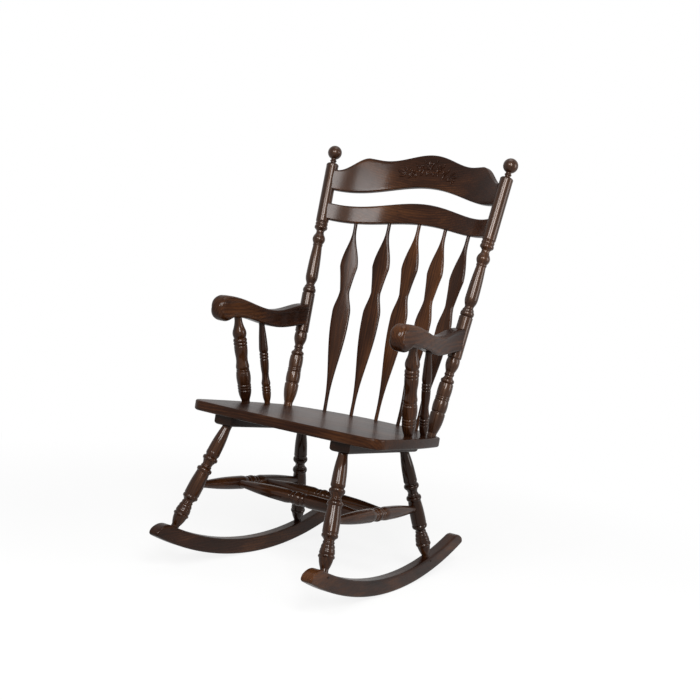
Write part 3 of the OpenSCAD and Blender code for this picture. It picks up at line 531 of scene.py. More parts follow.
sideEnds = [top + unit(foot - top) * stretcher["drop"] for top, foot in zip(legTops, legFeet)]
for side, flip in sides:
    a, b = sideEnds[0] * [flip, 1, 1], sideEnds[1] * [flip, 1, 1]
    material = walnut(f"stretcherWalnut_{side}", b - a, 0.85, (0.1, 0.27 * flip, 0.4), polish="turnings")
    rings = stretcherRings(a, b, stretcher["legGap"])
    addPiece(f"turned_side_stretcher_{side}", *skin(rings), material, f"side_stretcher_{side}")
for end, share in (("front", stretcher["crossAt"]), ("rear", 1 - stretcher["crossAt"])):
    a = sideEnds[0] + (sideEnds[1] - sideEnds[0]) * share
    material = walnut(f"stretcherWalnut_{end}", (1, 0, 0), 0.85, (0.15 * share, 0.2, 0.7), polish="turnings")
    rings = stretcherRings(a, a * [-1, 1, 1], stretcher["crossGap"])
    addPiece(f"turned_cross_stretcher_{end}", *skin(rings), material, f"cross_stretcher_{end}")
print("stretchers turned")

# Back posts. The list ends at the shoulder under the neck. `listed` is the length from the foot to the
# finial's middle that the list is drawn for.
postD, upperD = 43, 39
post = {
    "socket": 20,
    "listed": 808,
    "neck": upperD * 0.40,
    "neckRing": upperD * 0.52,
    "neckRingAt": 781,
    "neckRingHalf": 3,
    "ballFrom": -1.1,
    "ballStations": 60,
    "pole": 0.05,
    "stick": [
        [0, 26], [9, 26, 0], [66, postD * 0.98, 2.5], [70.5, postD * 0.86, 0],
        [73, postD * 0.95, 0], [104, postD * 0.95, 1], [106, postD * 0.88, 0],
        [111, postD * 0.88, 1.6, "bead"], [117, postD * 0.88, 1.6, "bead"], [119, postD * 0.93, 0],
        [155.5, postD * 0.9, 1], [157, postD * 0.74, 0], [169, postD * 0.72, 3.5, "bead"],
        [178, postD * 0.55, -1], [185, postD * 0.58, 1.8, "bead"], [190, postD * 0.6, 0],
        [226, postD * 0.86, 3], [229, postD * 0.8, 0], [232, postD * 0.93, 0],
        [353, upperD, 0], [355.5, postD * 0.76, 0], [371, postD * 0.74, 3.6, "bead"],
        [378, postD * 0.64, 1.4, "bead"], [386, postD * 0.62, -0.8], [409, postD * 0.87, 1.5],
        [505, postD * 0.64, 1], [511, postD * 0.64, 1.5, "bead"], [543, postD * 0.6, 6],
        [553, postD * 0.56, -0.6], [558, postD * 0.78, 0], [570, postD * 0.78, 3.2, "bead"],
        [580, postD * 0.78, 2.2, "bead"], [584, upperD, 0], [764, upperD * 0.96, 0],
        [773, upperD * 0.70, 2.2],
    ],
}


# A post's radius is the largest, at each place, of its turning, its neck, the half-round ring on the
# neck and the ball finial, which is a circle about the post's end. Near the ball the stations lie at
# even angles.
def postRings(a, b):
    length = np.linalg.norm(b - a)
    scale = length / post["listed"]
    ball = chair["finial"] / 2
    onBall = length + ball * np.sin(np.linspace(post["ballFrom"], np.pi / 2, post["ballStations"]))
    places = np.concatenate([np.arange(0, onBall[0], turning["step"]), onBall])
    shoulder = post["stick"][-1][0] * scale
    turned = stickRadii(post["stick"], shoulder, np.minimum(places, shoulder))
    turned = np.where(places <= shoulder, turned, 0)
    neck = np.where(places <= length, post["neck"] / 2, 0)
    half = post["neckRingHalf"]
    fromRing = places - post["neckRingAt"] * scale
    ring = post["neckRing"] / 2 - half + np.sqrt(np.maximum(half * half - fromRing**2, 0))
    ring = np.where(np.abs(fromRing) <= half, ring, 0)
    top = np.sqrt(np.maximum(ball**2 - (places - length) ** 2, 0))
    radii = np.max([turned, neck, ring, top], 0)
    below = places < onBall[0]
    radii[below] = softened(radii)[below]
    radii[-1] = post["pole"]
    return revolve(a, b, np.concatenate([[-post["socket"]], places]), np.concatenate([radii[:1], radii]))


for side, flip in sides:
    a, b = postFoot * [flip, 1, 1], finial * [flip, 1, 1]
    material = walnut(f"postWalnut_{side}", b - a, 0.9, (0.22, 0.16 * flip, 0), polish="posts")
    addPiece(f"turned_back_post_{side}", *skin(postRings(a, b)), material, f"back_post_{side}")
print("back posts turned")


# Rounded rectangles of half sizes halfA by halfB, one for each station. Each corner is a quarter circle
# of `corner` points, and each straight side between them is split into `straight` even parts. The
# radius stays a little under half the shorter side.
def roundedBox(halfA, halfB, radius, corner, straight):
    radius = np.minimum(radius, np.minimum(halfA, halfB) * 0.98)
    arc = np.linspace(0, np.pi / 2, corner)
    corners = []
    for quarter, (signA, signB) in enumerate(((1, 1), (-1, 1), (-1, -1), (1, -1))):
        angle = arc + quarter * np.pi / 2
        cornerA = signA * (halfA - radius)[:, None] + radius[:, None] * np.cos(angle)
        cornerB = signB * (halfB - radius)[:, None] + radius[:, None] * np.sin(angle)
        corners.append(np.stack([cornerA, cornerB], -1))
    share = np.linspace(0, 1, straight + 1)[1:-1, None]
    loop = []
    for here, following in zip(corners, corners[1:] + corners[:1]):
        loop += [here, here[:, -1:] + (following[:, :1] - here[:, -1:]) * share]
    return np.concatenate(loop, 1)


# A loft: each station has a middle, two directions and the half sizes and corner radius of its section.
def loft(middle, dirA, dirB, halfA, halfB, radius, corner=6, straight=5):
    section = roundedBox(halfA, halfB, radius, corner, straight)
    return middle[:, None] + section[..., :1] * dirA[:, None] + section[..., 1:] * dirB[:, None]


# Where the ray at some angle from the rocker's centre meets a circle of the given radius about a point
# at distance `far` and angle `at`: the near and the far crossing, by the law of cosines.
def rayCircle(angle, far, at, radius):
    half = np.sqrt(np.maximum(radius**2 - (far * np.sin(angle - at)) ** 2, 0))
    return far * np.cos(angle - at) - half, far * np.cos(angle - at) + half


# One end of a rocker in side view, out to the tip at level distance `reach`: angles from the lowest
# point, and the distances of the upper and lower edges from the middle of the running arc. The upper
# edge is the inner circle, then the nose's arc, then the tip's small circle; the lower edge is the
# running circle until the tip's circle. The angles crowd towards the tip.
def rockerEnd(reach):
    big, nose, tip = rocker["radius"], rocker["nose"], rocker["tip"]
    small = big - rocker["depth"]
    tipAt = math.asin((reach - tip) / (big - tip))
    tipMiddle = (big - tip) * np.array([math.sin(tipAt), -math.cos(tipAt)])
    noseMiddle = crossing(np.zeros(2), small + nose, tipMiddle, nose - tip, -1)
    noseAt = math.atan2(noseMiddle[0], -noseMiddle[1])
    touch = tipMiddle + unit(tipMiddle - noseMiddle) * tip
    touchAt = math.atan2(touch[0], -touch[1])
    last = tipAt + math.asin(tip / (big - tip))
    even = rocker["evenPart"]
    crowded = np.sin(np.linspace(0, np.pi / 2, rocker["tipSteps"]))[1:]
    angle = np.concatenate([np.linspace(0, even, rocker["evenSteps"]), even + (1 - even) * crowded]) * last
    noseEdge = rayCircle(angle, small + nose, noseAt, nose)[0]
    tipNear, tipFar = rayCircle(angle, big - tip, tipAt, tip)
    upper = np.where(angle < noseAt, small, np.where(angle < touchAt, noseEdge, tipNear))
    lower = np.where(angle < tipAt, big, tipFar)
    return angle, upper, lower


# A whole rocker: both ends joined at the lowest point, each station a rounded rectangle between the
# edges that narrows at the tips, turned by the toe and set on the floor at the balance point.
def rockerRings(flip):
    give = rocker["width"] / 2 * math.sin(toe)
    front, rear = (
        rockerEnd((chair["depth"] / 2 + way * rocker["balance"] - give) / math.cos(toe)) for way in (1, -1)
    )
    angle = np.concatenate([-front[0][:0:-1], rear[0]])
    upper = np.concatenate([front[1][:0:-1], rear[1]])
    lower = np.concatenate([front[2][:0:-1], rear[2]])
    half = np.maximum(lower - upper, rocker["thinnest"]) / 2
    radial = np.stack([np.zeros_like(angle), np.sin(angle), -np.cos(angle)], -1)
    middle = radial * ((lower + upper) / 2)[:, None]
    taper = 1 - rocker["taper"] * ease(1 - 2 * half / rocker["taperUnder"])
    sideways = np.tile([1.0, 0, 0], (len(angle), 1))
    edge = np.minimum(rocker["edge"], half * 0.95)
    rings = loft(middle, sideways, radial, rocker["width"] / 2 * taper, half, edge)
    c, s = math.cos(toe), math.sin(toe)
    turned = rings @ np.array([[c, -s, 0], [s, c, 0], [0, 0, 1]]).T
    midX = chair["legFootX"][0] - (chair["legFootY"][0] + rocker["balance"]) * math.tan(toe)
    return (turned + [midX, rocker["balance"], rocker["radius"]]) * [flip, 1, 1]


for side, flip in sides:
    material = walnut(f"rockerWalnut_{side}", (0.033 * flip, 1, 0), 1.05, (0.3, 0.1 * flip, 0.2))
    addPiece(f"sawn_rocker_{side}", *skin(rockerRings(flip)), material, f"rocker_{side}", "board_wood")
print("rockers sawn")

# The crest rail and the back rail below it.
rails = {
    "end": upperD / 4,
    "bowEnd": upperD / 3,
    "edge": 4.0,
    "stations": 161,
    "back": {"low": backLow, "endHeight": 51, "rise": 35, "arch": 47},
    "crest": {
        "low": crestLow, "endHeight": chair["crestEnd"], "rise": 55,
        "shoulder": chair["crestShoulder"], "shoulderIn": 196, "shoulderOut": 284,
        "hump": chair["crestHump"], "humpHalf": 165,
    },
}


# arch is 1 in the middle of the chair and eases to 0 at `half` on either side.
def arch(x, half):
    return 1 - ease(np.abs(x) / half)


# Half the bow's chord: the bow meets each post a little inside its middle.
def bowHalf(rail):
    return postX(rail["low"] + rail["endHeight"] / 2) - rails["bowEnd"]


# The circle through both ends of the bow and its deepest point.
def bowRadius(rail):
    return (bowHalf(rail) ** 2 + chair["railBow"] ** 2) / (2 * chair["railBow"])


# How far behind the posts the middle of a rail's thickness lies: a point of that circle.
def bowAt(x, rail):
    radius = bowRadius(rail)
    return chair["railBow"] - radius + np.sqrt(radius**2 - x * x)


# A rail's lower edge rises in an arch over its whole length.
def railUnder(x, rail):
    return rail["low"] + rail["rise"] * arch(x, bowHalf(rail))


# The back rail's upper edge is another such arch.
def backRailOver(x):
    rail = rails["back"]
    return rail["low"] + rail["endHeight"] + rail["arch"] * arch(x, bowHalf(rail))


# The crest's upper edge eases up to level shoulders, with a hump in the middle.
def crestOver(x):
    rail = rails["crest"]
    away = (np.abs(x) - rail["shoulderIn"]) / (rail["shoulderOut"] - rail["shoulderIn"])
    hump = rail["hump"] * arch(x, rail["humpHalf"])
    return rail["low"] + rail["endHeight"] + hump + rail["shoulder"] * (1 - ease(away))


# A bent rail: stations along the bow, each a rounded rectangle as thick as the board and as high as the
# rail is there, standing across the bow and up along the back.
def railRings(rail, over):
    radius = bowRadius(rail)
    endX = postX(rail["low"] + rail["endHeight"] / 2) - rails["end"]
    turnEnd = math.asin(endX / radius)
    angle = np.linspace(-turnEnd, turnEnd, rails["stations"])
    x = radius * np.sin(angle)
    under, upper = railUnder(x, rail), over(x)
    middle = onBack(x, bowAt(x, rail), (under + upper) / 2)
    outward = onBack(np.sin(angle), np.cos(angle), 0.0) - onBack(0.0, 0.0, 0.0)
    up = np.tile(onBack(0.0, 0.0, 1.0) - onBack(0.0, 0.0, 0.0), (len(x), 1))
    halfThick = np.full(len(x), chair["railThickness"] / 2)
    return loft(middle, outward, up, halfThick, (upper - under) / 2, rails["edge"], straight=12)


crestWood = walnut("crestWalnut", (1, 0, 0), 1.1, (0.05, 0.3, 0))
railWood = walnut("railWalnut", (1, 0, 0), 1.1, (0.6, 0.1, 0))
crestRings = railRings(rails["crest"], crestOver)
backRings = railRings(rails["back"], backRailOver)
addPiece("bent_crest_rail", *skin(crestRings), crestWood, "crest_rail", "board_wood")
addPiece("bent_back_rail", *skin(backRings), railWood, "back_rail", "board_wood")
print("rails bent")

# The carved spray on the crest rail: a drooping stem with four curls, flowers, leaves and berries. Each
# is listed by its place along the stem and above it: a flower with its radius, and a leaf with its
# bearing in degrees, its length and its width. A curl is listed by its place, its hand and its size.
# Reliefs are shares of the petals' relief, and the eye's radius is a share of its flower's. `stemRun` is
# where the stem starts and ends and its number of points.
spray = {
    "middle": 788,
    "droop": 36,
    "reach": 104,
    "stem": 2.6,
    "stemRun": (-96, 92, 60),
    "relief": 4.2,
    "sunk": 1.2,
    "petals": 5,
    "petalWidth": 0.85,
    "petalCurl": 0.35,
    "petalStart": 0.25,
    "petalTwist": 0.02,
    "eye": 0.24,
    "eyeRelief": 1.35,
    "flowers": [(-34, 3, 13.5), (-5, 11, 15.5), (26, 5, 13.5), (-57, -3, 9), (50, -3, 9)],
    "curls": [(-44, -1, 1.0), (38, 1, 0.9), (-16, 1, 0.7), (12, -1, 0.7)],
    "curl": {"radius": 12, "turn": 4.2, "shrink": 0.78, "out": 14, "drop": 7, "stem": 1.8, "points": 40},
    "tube": {"around": 12, "thinEnd": 0.35, "lift": 0.4},
    "dome": {"stations": 9, "around": 18, "from": 0.06, "to": 0.75},
    "leaf": {
        "stations": 15, "around": 24, "from": 0.02, "to": 0.98, "crowding": 0.8, "fullness": 0.75,
        "rootRise": 0.12, "tipRise": 0.98, "sweep": 0.10, "sweepWave": 2.5,
        "vein": 0.55, "veinWidth": 0.20, "rimAt": 0.75, "rimWidth": 0.18,
    },
    "leafRelief": 0.85,
    "leaves": [
        (-80, 4, 168, 30, 15), (-76, 0, 205, 28, 14), (-74, 6, 138, 20, 9), (-64, 3, 112, 17, 8),
        (-62, -5, 246, 19, 9), (-46, 9, 108, 17, 7), (-44, -8, 254, 19, 9), (-20, 18, 122, 16, 7),
        (-22, -6, 236, 20, 9), (-9, -5, 262, 18, 8), (9, -5, 282, 18, 8), (13, 18, 60, 16, 7),
        (20, -6, 302, 20, 9), (40, 9, 62, 17, 7), (42, -7, 292, 19, 9), (60, 2, 58, 17, 8),
        (62, -4, 296, 19, 9), (74, 3, 26, 22, 9), (77, 0, 352, 26, 10), (74, -6, 318, 24, 9),
    ],
    "berry": 2.8,
    "berryRelief": 0.75,
    "berries": [
        (-13, -9), (-9, -12), (-5, -9), (-1, -12), (3, -9), (7, -12), (-7, -15), (-2, -16), (3, -15),
        (52, -13), (56, -17), (60, -13), (64, -18), (-54, -13), (-58, -17), (-62, -12), (78, -12),
        (83, -17), (88, -10), (72, -16), (92, -3), (-12, -15), (10, -16),
    ],
}


# A point on the crest's front face: `s` along the face from its middle, `up` along the back, and
# `proud` in front of the face. The face is an arc about the bow's middle.
def onCrestFace(s, up, proud):
    radius = bowRadius(rails["crest"])
    face = radius - chair["railThickness"] / 2
    angle, out = s / face, face - proud
    return onBack(out * np.sin(angle), chair["railBow"] - radius + out * np.cos(angle), up)


# Height of the spray's stem at `s` along the face: a parabola that droops to both ends.
def stemUp(s):
    return spray["middle"] - spray["droop"] * (s / spray["reach"]) ** 2


# A leaf or petal: stations from its root to its tip, each a half ellipse above the face and a shallow
# one below it. Its half width and its height are powers of sine waves, and it sweeps aside along another
# sine wave. A vein is pressed in down its middle and the rim curls up by `curl`, both as bell curves.
def leafRings(s, up, direction, length, width, height, curl=0.0):
    leaf = spray["leaf"]
    t = np.linspace(leaf["from"], leaf["to"], leaf["stations"])[:, None]
    angle = np.linspace(0, 2 * np.pi, leaf["around"], endpoint=False)
    c, sn = np.cos(angle), np.sin(angle)
    halfWidth = width / 2 * np.sin(np.pi * t ** leaf["crowding"]) ** leaf["fullness"]
    rise = height * np.sqrt(np.sin(np.pi * (leaf["rootRise"] + (leaf["tipRise"] - leaf["rootRise"]) * t)))
    vein = 1 - leaf["vein"] * np.exp(-((c / leaf["veinWidth"]) ** 2))
    rim = 1 + curl * np.exp(-(((np.abs(c) - leaf["rimAt"]) / leaf["rimWidth"]) ** 2))
    proud = np.where(sn > 0, rise * sn * vein * rim, spray["sunk"] * sn)
    aside = halfWidth * c + leaf["sweep"] * width * np.sin(leaf["sweepWave"] * t)
    cosD, sinD = math.cos(direction), math.sin(direction)
    along = length * t
    return onCrestFace(s + along * cosD - aside * sinD, up + along * sinD + aside * cosD, proud)


# A berry or a flower's eye: rings of a flattened or raised ball, from its crown down into the face.
def domeRings(s, up, radius, height):
    dome = spray["dome"]
    fall = np.linspace(dome["from"], dome["to"], dome["stations"])[:, None] * np.pi
    angle = np.linspace(0, 2 * np.pi, dome["around"], endpoint=False)
    spread, proud = radius * np.sin(fall), height * np.cos(fall)
    return onCrestFace(s + spread * np.cos(angle), up + spread * np.sin(angle), proud)


# A stem: a thin tube, partly sunk, along a row of (s, up) points. By half a sine wave its radius grows
# from a third at the ends to the whole in the middle.
def stemRings(s, up, thickness):
    tube = spray["tube"]
    t = np.linspace(0, 1, len(s))[:, None]
    s, up = s[:, None], up[:, None]
    ds, dup = np.gradient(s, axis=0), np.gradient(up, axis=0)
    size = np.hypot(ds, dup)
    angle = np.linspace(0, 2 * np.pi, tube["around"], endpoint=False)
    radius = thickness * (tube["thinEnd"] + (1 - tube["thinEnd"]) * np.sin(np.pi * t)) / 2
    aside = radius * np.cos(angle)
    proud = radius * (tube["lift"] + np.sin(angle))
    return onCrestFace(s - aside * dup / size, up + aside * ds / size, proud)


# A curl: a stem along a spiral whose radius shrinks evenly, from a place on the main stem.
def curlRings(start, hand, size):
    curl = spray["curl"]
    turn = np.linspace(0, 1, curl["points"])
    radius = size * curl["radius"] * (1 - curl["shrink"] * turn)
    angle = curl["turn"] * turn
    s = start + hand * (curl["out"] * size - radius * np.cos(angle))
    up = stemUp(start) - curl["drop"] * size - radius * np.sin(angle)
    return stemRings(s, up, curl["stem"] * size)


stemS = np.linspace(*spray["stemRun"])
parts = [stemRings(stemS, stemUp(stemS), spray["stem"])]
parts += [curlRings(*curl) for curl in spray["curls"]]
for s, lift, radius in spray["flowers"]:
    up = stemUp(s) + lift
    for number in range(spray["petals"]):
        direction = 2 * math.pi * (number + spray["petalStart"]) / spray["petals"] + spray["petalTwist"] * s
        width = radius * spray["petalWidth"]
        parts.append(leafRings(s, up, direction, radius, width, spray["relief"], spray["petalCurl"]))
    parts.append(domeRings(s, up, radius * spray["eye"], spray["relief"] * spray["eyeRelief"]))
relief = spray["relief"] * spray["leafRelief"]
for s, lift, degrees, length, width in spray["leaves"]:
    parts.append(leafRings(s, stemUp(s) + lift, math.radians(degrees), length, width, relief))
relief = spray["relief"] * spray["berryRelief"]
for s, lift in spray["berries"]:
    parts.append(domeRings(s, stemUp(s) + lift, spray["berry"], relief))
# The carving's wood, with painted shade in its hollows and painted highlights on its ridges besides stain and
# rub-through.
carvedWood = walnut("carvedWalnut", (1, 0, 0), 0.9, (0.05, 0.3, 0), carvedWearAndPaintedLight)
addPiece("carved_spray", *skins(parts), carvedWood, slot="board_wood", sharp=60)
print("spray carved")

# Slats. `inset` is how far their feet stand in from the seat's rear arc, and `flatFrom` and `flatOver`
# say at which half width a slat's section begins to flatten, and over how much more.
slatW, slatWaist, slatEnd = 56, 30, 11
slat = {
    "thickness": 12,
    "inset": 21,
    "footAngle": 13.2,
    "topPitch": 98,
    "fan": 9,
    "socket": 15,
    "flatFrom": 5.5,
    "flatOver": 12,
    "squareness": 2.2,
    "around": 48,
    "stations": 300,
    "stick": [
        [0, slatEnd], [32, slatEnd, 0], [300, slatW, 0, "ease"], [318, slatW, 0],
        [391, slatWaist, 0, "ease"], [469, slatW * 0.98, -0.8], [590, slatEnd, 0, "ease"],
        [612, slatEnd, 0],
    ],
}

# The seat, whose rear arc the slats follow. `steps` are points along its front, front corner, side,
# rear corner and rear, for half the outline.
seat = {
    "width": 622,
    "front": 264,
    "rear": 258,
    "frontRadius": 3200,
    "sideRadius": 1750,
    "widest": 215,
    "rearRadius": 382,
    "frontCorner": 42,
    "rearCorner": 24,
    "topEdge": 4.5,
    "lowEdge": 6.5,
    "steps": (40, 20, 60, 16, 60),
    "faceRings": 14,
    "edgeSteps": 7,
}


# A slat: its half width at each station is that of its list, and it is no thicker than the board. The
# section is a circle bent towards a box by a power that grows from the round ends to the flat middle.
# It leans from its foot to its top and turns about its own length by its place in the fan.
def slatRings(place):
    reach = seat["rearRadius"] - slat["inset"]
    turn = math.radians(place * slat["footAngle"])
    foot = onSeat(reach * math.sin(turn), seat["rear"] - seat["rearRadius"] + reach * math.cos(turn))
    x = place * slat["topPitch"]
    top = onBack(x, bowAt(x, rails["back"]), railUnder(x, rails["back"]))
    run = top - foot
    length = np.linalg.norm(run)
    lean = rotation("Y", math.atan2(run[0], run[2])) @ rotation("X", -math.asin(run[1] / length))
    turned = lean @ rotation("Z", -math.radians(place * slat["fan"]))
    along = np.linspace(0, length, slat["stations"])
    along = np.concatenate([[-slat["socket"]], along, [length + slat["socket"]]])[:, None]
    halfWidth = stickRadii(slat["stick"], length, np.clip(along, 0, length))
    halfThick = np.minimum(halfWidth, slat["thickness"] / 2)
    flat = np.clip((halfWidth - slat["flatFrom"]) / slat["flatOver"], 0, 1)
    power = 2 / (2 + slat["squareness"] * flat)
    angle = np.linspace(0, 2 * np.pi, slat["around"], endpoint=False)
    c, s = np.cos(angle), np.sin(angle)
    wide = halfWidth * np.sign(c) * np.abs(c) ** power
    thick = halfThick * np.sign(s) * np.abs(s) ** power
    local = np.stack([wide, thick, np.broadcast_to(along, wide.shape)], -1)
    return foot + local @ turned.T, run


for number, place in enumerate(range(-2, 3), 1):
    rings, run = slatRings(place)
    material = walnut(f"slatWalnut_{number}", run, 1.15, (0.17 * number, 0.1, 0.3))
    addPiece(f"feather_slat_{number}", *skin(rings), material, f"slat_{number}", "board_wood")
print("slats shaped")


# Points along a circle's arc from p to q, the short way round, with their outward directions.
def arcPoints(centre, p, q, count):
    a = math.atan2(*(p - centre)[::-1])
    b = math.atan2(*(q - centre)[::-1])
    b = a + (b - a + math.pi) % (2 * math.pi) - math.pi
    angle = np.linspace(a, b, count, endpoint=False)
    outward = np.stack([np.cos(angle), np.sin(angle)], -1)
    return centre + outward * np.linalg.norm(p - centre), outward


# The seat's outline: a shallow front arc, two side arcs and a round rear, joined by corner arcs that
# touch both neighbours. It runs once round from the middle of the front, the left half first.
def seatOutline():
    front = np.array([0, seat["frontRadius"] - seat["front"]])
    side = np.array([seat["width"] / 2 - seat["sideRadius"], -seat["widest"]])
    rear = np.array([0, seat["rear"] - seat["rearRadius"]])
    fc, rc = seat["frontCorner"], seat["rearCorner"]
    atFront = crossing(front, seat["frontRadius"] - fc, side, seat["sideRadius"] - fc, 1)
    atRear = crossing(rear, seat["rearRadius"] - rc, side, seat["sideRadius"] - rc, -1)
    touches = [
        np.array([0.0, -seat["front"]]),
        atFront + unit(atFront - front) * fc,
        atFront + unit(atFront - side) * fc,
        atRear + unit(atRear - side) * rc,
        atRear + unit(atRear - rear) * rc,
        np.array([0.0, seat["rear"]]),
    ]
    centres = (front, atFront, side, atRear, rear)
    arcs = [arcPoints(*arc) for arc in zip(centres, touches[:-1], touches[1:], seat["steps"])]
    points, outward = (np.concatenate(half) for half in zip(*arcs))
    flip = np.array([-1, 1])
    points = np.concatenate([points, [[0, seat["rear"]]], points[:0:-1] * flip])
    outward = np.concatenate([outward, [[0, 1]], outward[:0:-1] * flip])
    return points, outward


# The seat board: rings that grow from the middle of the top face to its edge, turn down over a quarter
# round, run down the side, turn under and shrink to the middle again.
def seatRings():
    points, outward = seatOutline()
    top, low, thick = seat["topEdge"], seat["lowEdge"], chair["seatThickness"]
    arc = np.linspace(0, np.pi / 2, seat["edgeSteps"])
    inset = np.concatenate([top * (1 - np.sin(arc)), low * (1 - np.cos(arc))])
    drop = np.concatenate([top * (1 - np.cos(arc)), thick - low * (1 - np.sin(arc))])
    edge = points - outward * inset[:, None, None]
    share = np.linspace(0.03, 0.97, seat["faceRings"])[:, None, None]
    upper = (points - outward * top) * share
    lower = (points - outward * low) * share[::-1]
    plan = np.concatenate([upper, edge, lower])
    depth = np.concatenate([np.zeros(len(share)), drop, np.full(len(share), thick)])
    return onSeat(plan[..., 0], plan[..., 1], depth[:, None])


seatWood = walnut("seatWalnut", (1, 0, 0), 0.95, (0.2, 0.5, 0.1), polish="seat")
addPiece("seat_board", *skin(seatRings()), seatWood, "seat", "board_wood")
print("seat shaped")

# Arms. In side view the upper edge runs over the scroll's crown, the dip and the rear end, and the lower
# one under the scroll, the throat, the belly and the rear end. `edge` rounds the long edges and
# `noseEdge` those over the scroll, `noseRound` is the front's depth in plan, and `quirk` is how far the
# side faces lie in from the rounded edges.
arm = {
    "scrollX": 295, "scrollY": -164, "scrollZ": 714, "scrollR": 36,
    "dipY": 48, "dipZ": 712,
    "throatY": -105, "throatZ": 688,
    "bellyY": 69, "bellyZ": 661,
    "rearOverZ": 731, "rearUnderZ": 668,
    "width": 45, "rearWidth": 37,
    "shortOfPost": 12,
    "edge": 6.5,
    "noseEdge": 15, "noseEdgeReach": 90,
    "noseRound": 17,
    "quirk": 1.0,
    "hollow": 5.0,
    "rollSteps": 90, "rollKept": 60,
    "alongFrom": -144, "alongPast": 4, "stations": 200,
    "cornerSteps": 8, "sideSteps": 8,
    "sideShares": (0.04, 0.2, 0.35, 0.5, 0.65, 0.8, 0.96),
}
armEndZ = (arm["rearOverZ"] + arm["rearUnderZ"]) / 2
armEndX, armEndY, _ = postAt(armEndZ) - [0, arm["shortOfPost"], 0]


# 0 at the scroll's middle and 1 at the arm's rear end, by an ease.
def armRun(y):
    return ease((y - arm["scrollY"]) / (armEndY - arm["scrollY"]))


# Distance of an arm's middle from the centre line at each place along it, by that ease.
def armX(y):
    return arm["scrollX"] + (armEndX - arm["scrollX"]) * armRun(y)


# Half an arm's width there, by the same ease.
def armHalf(y):
    return (arm["width"] + (arm["rearWidth"] - arm["width"]) * armRun(y)) / 2


# An edge in side view: one ease from its first point to its second, and one from there to its third.
def armEdge(y, points):
    (firstY, firstZ), (secondY, secondZ), (lastY, lastZ) = points
    forward = firstZ + (secondZ - firstZ) * ease((y - firstY) / (secondY - firstY))
    rearward = secondZ + (lastZ - secondZ) * ease((y - secondY) / (lastY - secondY))
    return np.where(y < secondY, forward, rearward)


# The upper edge's height: from the scroll's crown to the dip to the rear end.
def armOver(y):
    crown = (arm["scrollY"], arm["scrollZ"] + arm["scrollR"])
    return armEdge(y, (crown, (arm["dipY"], arm["dipZ"]), (armEndY, arm["rearOverZ"])))


# The lower edge's height: from the throat to the belly to the rear end.
def armUnder(y):
    throat, belly = (arm["throatY"], arm["throatZ"]), (arm["bellyY"], arm["bellyZ"])
    return armEdge(y, (throat, belly, (armEndY, arm["rearUnderZ"])))


# An arm: stations from the front of the scroll into the back post, first at even angles round the scroll
# and then at even steps. Up to the scroll's middle the section's top and bottom follow its circle. From
# there the top is the upper edge, and the bottom is the soft minimum of the circle and the lower edge,
# and past the circle the lower edge. In plan the front is a quarter ellipse. The corners are fuller over
# the scroll, and both side faces lie a quirk in.
def armRings(flip):
    radius, centreY, centreZ = arm["scrollR"], arm["scrollY"], arm["scrollZ"]
    roll = np.linspace(0, np.pi, arm["rollSteps"])[:arm["rollKept"]]
    along = np.linspace(arm["alongFrom"], armEndY + arm["alongPast"], arm["stations"])
    y = np.unique(np.round(np.concatenate([centreY - radius * np.cos(roll), along]), 3))
    circle = np.sqrt(np.maximum(radius**2 - (y - centreY) ** 2, 0.01))
    over = np.where(y < centreY, centreZ + circle, armOver(y))
    low = centreZ - circle
    soft = -arm["hollow"] * np.log(np.exp(-low / arm["hollow"]) + np.exp(-armUnder(y) / arm["hollow"]))
    under = np.where(y < centreY, low, np.where(y < centreY + radius, soft, armUnder(y)))
    half = np.maximum((over - under) / 2, 0.1)
    middle = np.stack([armX(y), y, (over + under) / 2], -1)
    inward = np.clip((centreY - radius - y) / arm["noseRound"] + 1, 0, 1)
    wide = armHalf(y) - arm["noseRound"] * (1 - np.sqrt(1 - inward**2))
    fuller = 1 - ease((y - centreY) / arm["noseEdgeReach"])
    corner = np.minimum(arm["edge"] + (arm["noseEdge"] - arm["edge"]) * fuller, half * 0.95)
    sideways, upright = (np.tile(way, (len(y), 1)) for way in ([1.0, 0, 0], [0, 0, 1.0]))
    rings = loft(middle, sideways, upright, wide, half, corner, arm["cornerSteps"], arm["sideSteps"])

    quarter = rings.shape[1] // 4
    shares = np.array(arm["sideShares"])[:, None]
    for number, way in ((1, 1), (3, -1)):
        first = quarter * number + arm["cornerSteps"]
        last = first + arm["sideSteps"] - 1
        start, stop = rings[:, first - 1:first], rings[:, last % (4 * quarter)][:, None]
        side = start + (stop - start) * shares
        side[..., 0] += way * np.minimum(arm["quirk"], half * 0.1)[:, None]
        rings[:, first:last] = side
    return rings * [flip, 1, 1]


for side, flip in sides:
    material = walnut(f"armWalnut_{side}", (0, 1, 0), 1.0, (0.2 * flip, 0.4, 0.1))
    addPiece(f"scrolled_arm_{side}", *skin(armRings(flip)), material, f"arm_{side}", "board_wood")
print("arms sawn")

